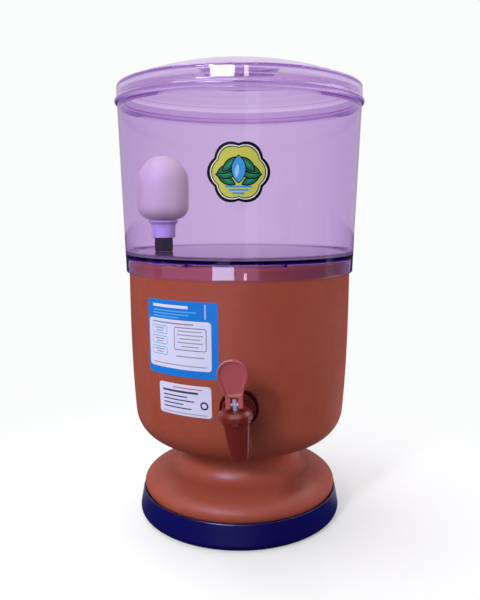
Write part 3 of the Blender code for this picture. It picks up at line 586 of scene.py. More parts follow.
@lru_cache(maxsize=None)
def grain_group() -> bpy.types.NodeTree:
    """Fine grain at two sizes, as fired clay, rubber and moulded plastic have it.

    Returns:
        A group with a Height from 0 to 1 and a Speck mask of the deepest pits.
    """
    make, given = new_group("fine_grain", {"Vector": None, "Scale": 900.0, "Pits": 0.3})
    scaled = {0: given["Vector"], "Scale": given["Scale"]}
    place = make.add("VectorMath", scaled, operation="SCALE").outputs[0]
    height = make.scaled(make.noise(place, 0.22), 0.4, make.times(make.noise(place, 1.0, 3.0, 0.65), 0.6))
    cells = make.add("TexVoronoi", {"Vector": place, "Scale": 0.3}, feature="F1").outputs
    chosen = make.math("LESS_THAN", cells["Color"], given["Pits"])
    speck = make.times(make.ramp(cells["Distance"], 0.28, 0.12), chosen)
    pitted = make.math("MULTIPLY_ADD", speck, -0.5, height, clamp=True)
    return end_group(make, {"Height": pitted, "Speck": speck})


@lru_cache(maxsize=None)
def handling_group() -> bpy.types.NodeTree:
    """Hairline scratches in three directions and faint smears, from handling.

    Returns:
        A group with a Scratch mask and a Smear mask, both from 0 to 1.
    """
    make, given = new_group("handling_marks", {"Vector": None, "Amount": 0.5})
    place, amount = given["Vector"], given["Amount"]
    total: Socket = 0.0
    for angle, stretch in ((0.5, (40.0, 900.0, 160.0)), (1.9, (700.0, 60.0, 120.0)),
                           (2.6, (160.0, 80.0, 1100.0))):
        turned = make.add("VectorRotate", {"Vector": place, "Axis": (0.3, 0.5, 0.8), "Angle": angle})
        lines = make.streaks(turned.outputs[0], stretch, 0.6, 1.0)
        total = make.math("ADD", make.ramp(lines, 0.70, 0.78), total)
    patches = make.ramp(make.noise(place, 24.0), 0.48, 0.62)
    smear = make.ramp(make.noise(place, 38.0, 4.0, 0.6), 0.45, 0.75)
    scratch = make.times(make.times(total, patches), amount, clamp=True)
    return end_group(make, {"Scratch": scratch, "Smear": make.times(smear, amount, clamp=True)})


@lru_cache(maxsize=None)
def box_group() -> bpy.types.NodeTree:
    """A printed box with round corners, on flat coordinates in metres.

    Returns:
        A group with a Fill mask of its whole face and a Line mask of its outline.
    """
    make, given = new_group("printed_box", {"Vector": None, "Centre": None, "Half Size": None,
                                            "Corner": 0.001, "Line": 0.0004, "Soft": 0.00008})
    folded = make.vector("ABSOLUTE", make.vector("SUBTRACT", given["Vector"], given["Centre"]))
    outside = make.vector("MAXIMUM", make.vector("SUBTRACT", folded, given["Half Size"]))
    distance = make.math("SUBTRACT", make.vector("LENGTH", outside), given["Corner"])
    half = make.times(given["Line"], 0.5)
    away = make.math("ABSOLUTE", make.math("ADD", distance, half))
    edge = make.math("ADD", half, given["Soft"])
    return end_group(make, {"Fill": make.ramp(distance, given["Soft"], 0.0, smooth=False),
                            "Line": make.ramp(away, edge, half, smooth=False)})


@lru_cache(maxsize=None)
def leaf_group() -> bpy.types.NodeTree:
    """A printed leaf, the part that two circles share, on flat coordinates in metres.

    Returns:
        A group with a Fill mask.
    """
    make, given = new_group("printed_leaf", {"Vector": None, "Centre": None, "Turn": 0.0,
                                             "Side Radius": 0.01, "Side Offset": 0.008, "Soft": 0.0001})
    centred = make.vector("SUBTRACT", given["Vector"], given["Centre"])
    turned = make.add("VectorRotate", {"Vector": centred, "Angle": given["Turn"]}, rotation_type="Z_AXIS")
    x, y, _ = make.split(turned.outputs[0])
    across = make.math("ADD", make.math("ABSOLUTE", x), given["Side Offset"])
    reach = make.math("SQRT", make.scaled(across, across, make.times(y, y)))
    distance = make.math("SUBTRACT", reach, given["Side Radius"])
    return end_group(make, {"Fill": make.ramp(distance, given["Soft"], 0.0, smooth=False)})


# Finishes


def new_material(name: str) -> tuple[Material, Tree, bpy.types.Node, Link]:
    """Start a material.

    Args:
        name: The material's name.

    Returns:
        The material, its tree, its Principled shader and the Object coordinates.
    """
    material = bpy.data.materials.new(name)
    material.use_nodes = True
    make = Tree(material.node_tree)
    return material, make, make.nodes["Principled BSDF"], make.add("TexCoord", {}).outputs["Object"]


@dataclass(frozen=True)
class FiredClay:
    """Unglazed terracotta with a burnished skin."""

    name: str = "fired_clay"
    colour: Colour = (0.345, 0.068, 0.038)
    pale: Colour = (0.385, 0.092, 0.066)
    dark: Colour = (0.285, 0.050, 0.026)
    foot_top: float = 0.068
    foot_fade: float = 0.018
    shine: float = 0.16
    foot_shine: float = 0.50
    rubbed_top: float = 0.060
    rubbed_fall: float = 0.008
    rubbed_low: float = 0.032
    rubbed_rise: float = 0.012
    rubbed_front: float = -0.035
    rubbed_fade: float = 0.030

    def rubbed(self, make: Tree, place: Link) -> Link:
        """A mask of the foot's front shoulder, which hands have rubbed smooth.

        Args:
            make: The material's tree.
            place: Object coordinates.

        Returns:
            The mask, from 0 to 1.
        """
        _, depth, height = make.split(place)
        rising = make.ramp(height, self.rubbed_low, self.rubbed_low + self.rubbed_rise)
        front = make.ramp(depth, self.rubbed_front, self.rubbed_front - self.rubbed_fade)
        falling = make.ramp(height, self.rubbed_top, self.rubbed_top - self.rubbed_fall)
        return make.times(falling, make.times(rising, front))

    @lru_cache(maxsize=None)
    def material(self) -> Material:
        """Clay with slow mottling, grain, pits and turning lines, and a paler foot.

        Returns:
            The material.
        """
        material, make, shader, place = new_material(self.name)
        grain = make.group(grain_group(), {"Vector": place, "Scale": 1500.0, "Pits": 0.16})
        slow = make.ramp(make.noise(place, 11.0, 3.0, 0.55), 0.32, 0.70)
        cloud = make.ramp(make.noise(place, 70.0, 4.0, 0.6), 0.35, 0.72)
        foot = make.ramp(make.split(place)[2], self.foot_top, self.foot_top - self.foot_fade)
        colour: Socket = self.colour
        for mask, share, other in ((slow, 0.42, self.pale), (cloud, 0.26, self.dark), (foot, 0.30, self.pale),
                                   (grain["Speck"], 0.55, self.dark), (grain["Height"], 0.16, self.dark)):
            colour = make.blend(make.times(mask, share), colour, other)
        burnish = self.rubbed(make, place)
        rough = make.scaled(grain["Speck"], 0.2, make.scaled(cloud, 0.08, 0.50))
        normal = make.bump(make.streaks(place, (3.0, 3.0, 90.0)), 0.0005, 0.35)
        normal = make.bump(make.streaks(place, (5.0, 5.0, 420.0), 1.0, 3.0, 0.6), 0.00016, 0.5, normal)
        make.fill(shader, {
            "Base Color": colour,
            "Roughness": make.scaled(burnish, -0.18, rough),
            "Specular IOR Level": make.scaled(burnish, self.foot_shine - self.shine, self.shine),
            "Normal": make.bump(grain["Height"], 0.00016, 0.5, normal)})
        return material


@dataclass(frozen=True)
class MouldedPlastic:
    """Opaque moulded plastic."""

    name: str
    colour: Colour
    worn: Colour
    gloss: float = 0.22
    grain: float = 0.00003

    @lru_cache(maxsize=None)
    def material(self) -> Material:
        """Plastic with a faint skin, smears, hairline scratches and slow flow marks.

        Returns:
            The material.
        """
        material, make, shader, place = new_material(self.name)
        skin = make.group(grain_group(), {"Vector": place, "Scale": 2200.0, "Pits": 0.05})
        marks = make.group(handling_group(), {"Vector": place, "Amount": 0.35})
        flow = make.ramp(make.noise(place, 45.0), 0.35, 0.7)
        colour = make.blend(make.times(flow, 0.22), self.colour, self.worn)
        rough = make.scaled(marks["Smear"], 0.10, self.gloss)
        normal = make.bump(make.noise(place, 120.0), 0.00012, 0.25)
        make.fill(shader, {
            "Base Color": make.blend(make.times(marks["Scratch"], 0.35), colour, self.worn),
            "Roughness": make.scaled(marks["Scratch"], 0.18, rough),
            "Normal": make.bump(skin["Height"], self.grain, 0.5, normal)})
        return material


@dataclass(frozen=True)
class ClearPlastic:
    """Clear tinted plastic that lets lamps through."""

    name: str = "clear_violet"
    tint: Colour = (0.465, 0.095, 0.68)
    density: float = 210.0
    ior: float = 1.49
    lamp_tint: Colour = (0.80, 0.77, 0.82)
    # Painted glows, which are no lamps: the next colour ends light trapped in the wall, and the edge colour
    # is a painted dark indigo glow along the floor's edge.
    painted_glow: Colour = (0.86, 0.84, 0.84)
    edge: Colour = (0.050, 0.010, 0.200)
    edge_top: float = BOX_SEAT + 0.007
    edge_fade: float = 0.006
    caught: float = 1.0
    bounces: float = 1.5
    total: float = 0.98

    def ended(self, make: Tree, path: bpy.types.Node, place: Link) -> tuple[Link, Link]:
        """Where light that runs round inside the wall is ended with a painted glow, which is dark indigo near
        the floor's edge.

        Args:
            make: The material's tree.
            path: Its Light Path node.
            place: Object coordinates.

        Returns:
            A mask of the ended light, and the glow's colour.
        """
        trapped = make.math("GREATER_THAN", path.outputs["Glossy Depth"], self.bounces)
        inside = make.add("NewGeometry", {}).outputs["Backfacing"]
        mirror = make.math("GREATER_THAN", make.add("Fresnel", {"IOR": self.ior}).outputs[0], self.total)
        height = make.split(place)[2]
        low = make.ramp(height, self.edge_top, self.edge_top - self.edge_fade, 0.0, self.caught)
        caught = make.times(make.times(inside, mirror), low)
        return make.math("MAXIMUM", trapped, caught), make.blend(caught, self.painted_glow, self.edge)

    @lru_cache(maxsize=None)
    def material(self) -> Material:
        """Glass-like plastic whose tint grows with the depth of material, with painted glows where light is
        ended inside it.

        Returns:
            The material.
        """
        material, make, shader, place = new_material(self.name)
        marks = make.group(handling_group(), {"Vector": place, "Amount": 0.35})
        rough = make.scaled(marks["Scratch"], 0.10, 0.015)
        ripple = make.streaks(place, (26.0, 26.0, 9.0), 1.0, 1.0)
        make.fill(shader, {
            "Base Color": (1.0, 1.0, 1.0, 1.0),
            "Transmission Weight": 1.0,
            "IOR": self.ior,
            "Roughness": make.scaled(marks["Smear"], 0.02, rough),
            "Normal": make.bump(ripple, 0.0006, 0.25)})
        path = make.add("LightPath", {})
        ended, glow = self.ended(make, path, place)
        # Trapped and caught rays end in a painted glow.
        clear = make.mix_shaders(ended, shader, make.glow(glow))
        lamp = make.add("BsdfTransparent", {"Color": rgba(self.lamp_tint)})
        mixed = make.mix_shaders(path.outputs["Is Shadow Ray"], clear, lamp)
        volume = make.add("VolumeAbsorption", {"Color": rgba(self.tint), "Density": self.density})
        make.fill(make.nodes["Material Output"], {"Surface": mixed.outputs[0], "Volume": volume.outputs[0]})
        return material


@dataclass(frozen=True)
class PlainFinish:
    """Ceramic, rubber, silicone, carbon or steel: a colour with its grain."""

    name: str
    colour: Colour
    second: Colour
    roughness: float
    spread: float = 0.1
    metallic: float = 0.0
    grain_scale: float = 900.0
    grain_depth: float = 0.0001
    pits: float = 0.1
    shine: float = 0.5

    @lru_cache(maxsize=None)
    def material(self) -> Material:
        """A surface whose colour and roughness follow its grain and handling.

        Returns:
            The material.
        """
        material, make, shader, place = new_material(self.name)
        grain = make.group(grain_group(), {"Vector": place, "Scale": self.grain_scale, "Pits": self.pits})
        marks = make.group(handling_group(), {"Vector": place, "Amount": 0.5})
        share = make.scaled(marks["Smear"], 0.4, make.times(grain["Height"], 0.3))
        make.fill(shader, {
            "Base Color": make.blend(share, self.colour, self.second),
            "Roughness": make.scaled(grain["Height"], self.spread, self.roughness),
            "Metallic": self.metallic,
            "Specular IOR Level": self.shine,
            "Normal": make.bump(grain["Height"], self.grain_depth, 0.6)})
        return material


BLACK: Colour = (0.003, 0.002, 0.006)
WHITE_LINE: Colour = (0.80, 0.78, 0.84)
FIBRE: Colour = (0.2, 0.2, 0.22)
BLUE: Colour = (0.006, 0.185, 0.700)
SKY: Colour = (0.12, 0.42, 0.80)
WATER: Colour = (0.05, 0.30, 0.72)
WATER_LIGHT: Colour = (0.30, 0.60, 0.90)
PAPER: Colour = (0.70, 0.69, 0.95)
INK: Colour = (0.05, 0.05, 0.09)
RED_INK: Colour = (0.45, 0.05, 0.07)
GREY: Colour = (0.28, 0.28, 0.36)
LEAF_GREEN: Colour = (0.010, 0.16, 0.085)
LEAF_LIGHT: Colour = (0.02, 0.30, 0.16)
FIELD_YELLOW: Colour = (0.56, 0.56, 0.095)

# Where each ring of a lobed badge starts, as a share of its edge's distance
BADGE_RINGS = ((0.828, BLACK), (0.862, WHITE_LINE), (0.898, BLACK))
RING_SOFT = 0.008
MM = 0.001


@dataclass(frozen=True)
class Print:
    """One printed box of a label, in millimetres from the label's middle."""

    across: float
    up: float
    width: float
    height: float
    colour: Colour
    corner: float = 0.5
    outline: float = 0.0

    def mask(self, make: Tree, flat: Link) -> Link:
        """Where the box is printed.

        Args:
            make: The material's tree.
            flat: Coordinates on the flat sheet, in metres.

        Returns:
            The mask, from 0 to 1.
        """
        corner = self.corner * MM
        half = (self.width * MM / 2 - corner, self.height * MM / 2 - corner, 1.0)
        box = make.group(box_group(), {
            "Vector": flat, "Centre": (self.across * MM, self.up * MM, 0.0),
            "Half Size": half, "Corner": corner, "Line": self.outline * MM})
        return box["Line" if self.outline else "Fill"]


@dataclass(frozen=True)
class Leaf:
    """One printed leaf of a badge, in millimetres from its middle."""

    across: float
    up: float
    length: float
    width: float
    turn: float
    colour: Colour

    def mask(self, make: Tree, flat: Link) -> Link:
        """Where the leaf is printed.

        Args:
            make: The material's tree.
            flat: Coordinates on the flat sheet, in metres.

        Returns:
            The mask, from 0 to 1.
        """
        length, half = self.length * MM / 2, self.width * MM / 2
        side = (length ** 2 + half ** 2) / (2 * half)
        leaf = make.group(leaf_group(), {
            "Vector": flat, "Centre": (self.across * MM, self.up * MM, 0.0),
            "Turn": math.radians(self.turn), "Side Radius": side, "Side Offset": side - half})
        return leaf["Fill"]


@dataclass(frozen=True)
class PrintedFilm:
    """A printed label or badge with its own layout."""

    name: str
    width: float
    height: float
    ground: Colour
    prints: tuple[Union[Print, Leaf], ...]
    lobes: int = 0
    lobe_radius: float = 0.0
    lobe_depth: float = 0.0
    gloss: float = 0.34
    shine: float = 0.16

    def flat_place(self, make: Tree) -> Link:
        """Coordinates on the flat sheet in metres, from its middle."""
        centred = make.vector("SUBTRACT", make.add("TexCoord", {}).outputs["UV"], (0.5, 0.5, 0.0))
        return make.vector("MULTIPLY", centred, (self.width, self.height, 0.0))

    def edge(self, wave: Socket) -> float:
        """Distance from the middle to the lobed edge, where a wave from 0 to 1 is known."""
        return self.lobe_radius - self.lobe_depth + 2 * self.lobe_depth * wave

    def lobe_share(self, make: Tree, flat: Link) -> Link:
        """Distance from the middle as a share of the lobed edge's distance there.

        Args:
            make: The material's tree.
            flat: Coordinates on the flat sheet, in metres.

        Returns:
            The share, which is 1 on the edge.
        """
        x, y, _ = make.split(flat)
        angle = make.math("ARCTAN2", y, x)
        wave = make.math("ABSOLUTE", make.math("COSINE", make.times(angle, self.lobes / 2)))
        reach = make.scaled(wave, 2 * self.lobe_depth, self.edge(0.0))
        return make.math("DIVIDE", make.vector("LENGTH", flat), reach)

    @lru_cache(maxsize=None)
    def material(self) -> Material:
        """Printed film: its ground, then each print over it, with a slightly worn gloss.

        Returns:
            The material.
        """
        material, make, shader, place = new_material(self.name)
        flat = self.flat_place(make)
        colour: Socket = self.ground
        for item in self.prints:
            colour = make.blend(item.mask(make, flat), colour, item.colour)
        if self.lobes:
            share = self.lobe_share(make, flat)
            for start, ring in BADGE_RINGS:
                colour = make.blend(make.ramp(share, start, start + RING_SOFT), colour, ring)
        fibre = make.noise(place, 900.0, 3.0, 0.6)
        marks = make.group(handling_group(), {"Vector": place, "Amount": 0.5})
        make.fill(shader, {
            "Base Color": make.blend(make.times(fibre, 0.03), colour, FIBRE),
            "Roughness": make.scaled(marks["Smear"], 0.12, self.gloss),
            "Specular IOR Level": self.shine,
            "Normal": make.bump(make.noise(place, 260.0), 0.00005, 0.4)})
        return material


CLAY = FiredClay()
NAVY = MouldedPlastic("navy_plastic", (0.0014, 0.0009, 0.090), (0.003, 0.0025, 0.120), 0.20)
CLEAR = ClearPlastic()
CLEAR_LID = ClearPlastic("clear_violet_lid", (0.48, 0.12, 0.71), 140.0, painted_glow=(0.82, 0.76, 0.86),
                         caught=0.0)
RED = MouldedPlastic("red_plastic", (0.145, 0.012, 0.009), (0.19, 0.022, 0.018), 0.25)
# Painted highlight: the lever is the tap's own red plastic, painted paler and pinker to stand for the bright
# light that its upturned paddle reflects.
LEVER_RED_PAINTED_LIT = MouldedPlastic("red_plastic_painted_lit", (0.40, 0.082, 0.096), (0.44, 0.11, 0.125), 0.09)
# Painted shade: the stem is white plastic, painted darker and bluer to stand for the shade that the fork
# casts round it.
STEM_PLASTIC_PAINTED_SHADE = MouldedPlastic("stem_white_painted_shade", (0.36, 0.35, 0.60), (0.46, 0.45, 0.68), 0.18)
WHITE_PLASTIC = MouldedPlastic("white_plastic", (0.74, 0.75, 0.82), (0.66, 0.66, 0.70), 0.26)
CERAMIC = PlainFinish("white_ceramic", (0.88, 0.95, 0.58), (0.80, 0.88, 0.53), 0.28, 0.12,
                      grain_scale=1400.0, grain_depth=0.00006, pits=0.08)
CARBON = PlainFinish("carbon_block", (0.018, 0.018, 0.019), (0.05, 0.05, 0.05), 0.75, 0.2,
                     grain_scale=700.0, grain_depth=0.0005, pits=0.5)
RUBBER = PlainFinish("dark_rubber", (0.010, 0.005, 0.008), (0.018, 0.009, 0.012), 0.50, 0.2,
                     grain_scale=1100.0, shine=0.1)
BROWN_RUBBER = PlainFinish("brown_rubber", (0.042, 0.0014, 0.0008), (0.060, 0.003, 0.002), 0.60, 0.2,
                           grain_scale=1100.0, shine=0.05)
SILICONE = PlainFinish("silicone", (0.70, 0.68, 0.64), (0.62, 0.60, 0.56), 0.38, 0.1,
                       grain_depth=0.00006, pits=0.02)
STEEL = PlainFinish("steel", (0.56, 0.56, 0.57), (0.42, 0.42, 0.43), 0.22, 0.12, metallic=1.0,
                    grain_scale=2400.0, grain_depth=0.00003, pits=0.05)
Finish = Union[FiredClay, MouldedPlastic, ClearPlastic, PlainFinish, PrintedFilm]


def mount(piece: Thing, body: Body, finish: Finish, node: str) -> None:
    """Give a piece its finish and its body, and say which solid it stands for.

    Args:
        piece: The finished object.
        body: The body that it rides on.
        finish: Its finish.
        node: Name of the solid that it replaces and hides.
    """
    piece.data.materials.clear()
    piece.data.materials.append(finish.material())
    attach(piece, body.value)
    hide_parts(node)
    LOG.info("%s: %d faces, rides on %s, stands for %s", piece.name, len(piece.data.polygons),
             body.value, node)


# Sub-assemblies


@dataclass
class Dish:
    """The plastic dish that the reservoir stands in."""

    height: float = 0.026
    floor: float = 0.003
    wall: float = 0.002
    rim: float = 0.1002
    flare: float = 0.0033
    edge: float = 0.0065
    recess: float = 0.0008
    recess_radius: float = 0.084
    recess_slope: float = 0.0006
    ring_radius: float = 0.0285
    ring_width: float = 0.0030
    ring_top: float = 0.0004
    gate_radius: float = 0.004
    gate_top: float = 0.0005
    slope: float = 0.0004

    def underside(self) -> Outline:
        """The recess under the floor, with its moulded ring and the gate's mark in the middle.

        Returns:
            The section's points, inwards to the axis.
        """
        outer, inner = self.ring_radius + self.ring_width / 2, self.ring_radius - self.ring_width / 2
        line = [(self.recess_radius + self.recess_slope, 0.0), (self.recess_radius, self.recess)]
        line += [(outer, self.recess), (outer - self.recess_slope, self.ring_top)]
        line += [(inner + self.recess_slope, self.ring_top), (inner, self.recess)]
        return line + [(self.gate_radius, self.recess), (self.gate_radius - self.slope, self.gate_top),
                       (0.0, self.gate_top)]

    def section(self) -> Outline:
        """The dish's section, from its floor's top round the rim to its underside.

        Returns:
            The section's points.
        """
        wide = self.rim + self.flare
        edge = (wide - self.edge, self.edge)
        lip = self.wall / 2
        inside = (edge[0], edge[1] + self.floor - self.wall)
        line = [(0.0, self.floor)] + arc(inside, self.edge - self.wall, -90, 0, 10)
        line += arc((self.rim - lip, self.height - lip), lip, 180, 0, 10)
        return line + arc(edge, self.edge, 0, -90, 14) + self.underside()

    def build(self) -> None:
        """Turn the dish and put it on the ground."""
        mount(Form.turned(self.section(), LARGE_ROUND).piece("dish_moulding"), Body.DISH, NAVY, "base_dish")


@dataclass
class Reservoir:
    """The fired clay reservoir: bowl, neck and foot in one. Heights are above its foot."""

    height: float = 0.2579
    radius: float = 0.1099
    wall: float = 0.0085
    taper: float = 0.0040
    corner_height: float = 0.1067
    corner_radius: float = 0.032
    rim_rounding: float = 0.0025
    groove_radius: float = 0.0735
    foot_radius: float = 0.0987
    foot_shoulder: float = 0.0507
    foot_dome: float = 0.0185
    foot_equator: float = 0.0277
    foot_tuck: float = 0.0055
    tuck_height: float = 0.0075
    foot_ring: float = 0.0085
    foot_edge: float = 0.0015
    tap_clearance: float = 0.0006
    drilled: Point = (-0.03, 0.02)

    def outer_radius(self, height: float) -> float:
        """Radius of the outer wall.

        Args:
            height: Height above the foot.

        Returns:
            The radius there.
        """
        if height < self.corner_height:
            across, up = self.corner_centre()
            return across + math.sqrt(self.corner_radius ** 2 - (up - height) ** 2)
        drop = (self.height - height) / (self.height - self.corner_height)
        return self.radius - self.taper * drop ** 3

    def lean(self) -> float:
        """Degrees that the wall leans where the bottom corner begins."""
        return math.degrees(math.atan(3 * self.taper / (self.height - self.corner_height)))

    def corner_centre(self) -> Point:
        """Centre of the arc that rounds the bowl's bottom corner."""
        lean, reach = math.radians(self.lean()), self.corner_radius
        return self.radius - self.taper - reach * math.cos(lean), self.corner_height + reach * math.sin(lean)

    def bowl(self) -> Outline:
        """The bowl's section, from its inside floor over the rim to the outer bottom.

        Returns:
            The section's points.
        """
        centre = self.corner_centre()
        top = self.height - self.rim_rounding
        line = [(0.0, centre[1] - self.corner_radius + self.wall)]
        line += arc(centre, self.corner_radius - self.wall, -90, -self.lean(), 12)
        line += [(self.outer_radius(z) - self.wall, z) for z in spread(line[-1][1], top, 14)[1:]]
        line += arc((line[-1][0] + self.rim_rounding, top), self.rim_rounding, 180, 90, 6)[1:]
        line += arc((self.outer_radius(top) - self.rim_rounding, top), self.rim_rounding, 90, 0, 6)
        line += [(self.outer_radius(z), z) for z in spread(top, self.corner_height, 18)[1:]]
        return line + arc(centre, self.corner_radius, -self.lean(), -90, 18)[1:]

    def neck_and_foot(self) -> tuple[Outline, float]:
        """The neck's groove and the foot's outside.

        Returns:
            The section's points, and the groove's smallest radius.
        """
        under = self.corner_centre()[1] - self.corner_radius
        centre = self.foot_radius - self.foot_shoulder
        opening = math.acos((self.groove_radius - centre) / self.foot_shoulder)
        low = self.foot_equator + self.foot_dome * math.sin(opening)
        half = (under - low) / 2
        line = arc((self.groove_radius, low + half), half, 90, 270, 22)
        line += oval((centre, self.foot_equator), self.foot_shoulder, self.foot_dome,
                     math.degrees(opening), 0, 18)[1:]
        tucked = self.foot_radius - self.foot_tuck
        line += oval((tucked, self.foot_equator), self.foot_tuck, self.tuck_height, 0, -90, 8)[1:]
        line += arc((tucked - self.foot_edge, self.foot_edge), self.foot_edge, 0, -90, 4)
        return line, self.groove_radius - half

    def hollow_foot(self, neck: float) -> Outline:
        """The hollow under the foot and inside the neck, up to the axis.

        Args:
            neck: The groove's smallest radius.

        Returns:
            The section's points.
        """
        inner = neck - self.wall
        ceiling = self.corner_centre()[1] - self.corner_radius
        centre = self.foot_radius - self.foot_shoulder
        ring = self.foot_radius - self.foot_tuck - self.foot_ring
        line = arc((ring + self.foot_edge, self.foot_edge), self.foot_edge, 270, 180, 4)
        line += oval((centre, self.foot_equator), self.foot_shoulder - self.wall,
                     self.foot_dome - self.wall, 0, 90, 14)
        round_off = self.wall / 2
        line += arc((inner + round_off, line[-1][1] + round_off), round_off, 270, 180, 6)[1:]
        line += arc((inner - round_off, ceiling - round_off), round_off, 0, 90, 6)
        return line + [(0.0, ceiling)]

    def build(self, tap: "Tap") -> None:
        """Turn the clay and drill it for the tap's shank.

        Args:
            tap: The tap, whose frame the hole follows.
        """
        foot, neck = self.neck_and_foot()
        line = self.bowl() + foot + self.hollow_foot(neck)
        piece = Form.turned(line, LARGE_ROUND).moved(shift(z=CLAY_SEAT)).piece("clay_body")
        hole = tap.drill(tap.shank_radius + self.tap_clearance, *self.drilled)
        mount(combine(piece, hole, Cut.REMOVE), Body.RESERVOIR, CLAY, "clay_reservoir")


@dataclass
class Container:
    """The clear upper container. Heights are above its floor's underside."""

    floor: float = 0.003
    skirt: float = 0.0144
    skirt_clearance: float = 0.0006
    wall: float = 0.0022
    flare: float = 0.0053
    step: float = 0.1446
    step_edge: float = 0.0004
    lip: float = 0.011
    lip_inset: float = 0.0018
    fillet: float = 0.004
    root: float = 0.0012
    bevel: float = 0.0003
    clay_radius: float = 0.1099
    clay_wall: float = 0.0085
    ribs: int = 8
    rib_height: float = 0.0026
    rib_width: float = 0.005
    rib_edge: float = 0.0015
    rib_start: float = 20.8
    rib_clearance: float = 0.00125
    drilled: Point = (-0.01, 0.01)

    def outer_radius(self, height: float) -> float:
        """Radius of the outer wall at a height."""
        hem = self.clay_radius + self.skirt_clearance + self.wall
        return hem + self.flare * (height + self.skirt) / (self.step + self.skirt)

    def inside(self) -> Outline:
        """The section from the floor's middle up the inner wall and over the lip to the step.

        Returns:
            The section's points.
        """
        bottom = self.floor + self.fillet
        corner = (self.outer_radius(bottom) - self.wall - self.fillet, bottom)
        lip, top, half = self.outer_radius(self.step) - self.lip_inset, self.step + self.lip, self.wall / 2
        line = [(0.0, self.floor)] + arc(corner, self.fillet, -90, 0, 8)
        jog = spread(line[-1][1], self.step - 2 * self.lip_inset, 6)[1:]
        line += [(self.outer_radius(z) - self.wall, z) for z in jog]
        line += [(lip - self.wall, self.step)] + arc((lip - half, top - half), half, 180, 0, 8)
        return line + [(lip, self.step + self.bevel), (lip + self.bevel, self.step)]

    def outside(self) -> Outline:
        """The section from the step down the outer wall, round the hem and in under the floor.

        Returns:
            The section's points.
        """
        half, edge = self.wall / 2, self.step_edge
        line = arc((self.outer_radius(self.step) - edge, self.step - edge), edge, 90, 0, 3)
        line += [(self.outer_radius(z), z) for z in spread(self.step - 2 * edge, half - self.skirt, 8)]
        hem = self.outer_radius(-self.skirt)
        line += arc((hem - half, half - self.skirt), half, 0, -90, 4)[1:]
        line += [(hem - self.wall + self.bevel, -self.skirt), (hem - self.wall, self.bevel - self.skirt)]
        inner = self.outer_radius(0.0) - self.wall
        line += [(inner, -self.root)] + arc((inner - self.root, -self.root), self.root, 0, 90, 4)
        return line + [(0.0, 0.0)]

    def rib(self, azimuth: float) -> Form:
        """One V-shaped rib under the floor.

        Args:
            azimuth: Where it points, in degrees from the front.

        Returns:
            The rib.
        """
        inner = self.clay_radius - self.clay_wall + self.rib_clearance
        outer = self.outer_radius(0.0) - self.wall / 2
        top, low, half, edge = self.floor / 2, -self.rib_height, self.rib_width / 2, self.rib_edge / 2
        rib = Form.plate([(-half, top), (-edge, low), (edge, low), (half, top)], outer - inner)
        return rib.moved(turn(azimuth, "Z") @ shift(y=-(inner + outer) / 2))

    def build(self, candle: "Candle") -> None:
        """Turn the container, add its ribs and drill it for the candle.

        Args:
            candle: The candle, whose stem goes through the floor.
        """
        piece = Form.turned(self.inside() + self.outside(), LARGE_ROUND).piece("container_moulding")
        for rib in range(self.ribs):
            piece = combine(piece, self.rib(self.rib_start + 360.0 * rib / self.ribs), Cut.JOIN)
        hole = Form.turned(rod_line(candle.stem_radius + THREAD_GAP, *self.drilled), SMALL_ROUND)
        piece = combine(piece, hole.moved(shift(*candle.place)), Cut.REMOVE)
        piece.data.transform(shift(z=BOX_SEAT))
        mount(piece, Body.CONTAINER, CLEAR, "upper_container")


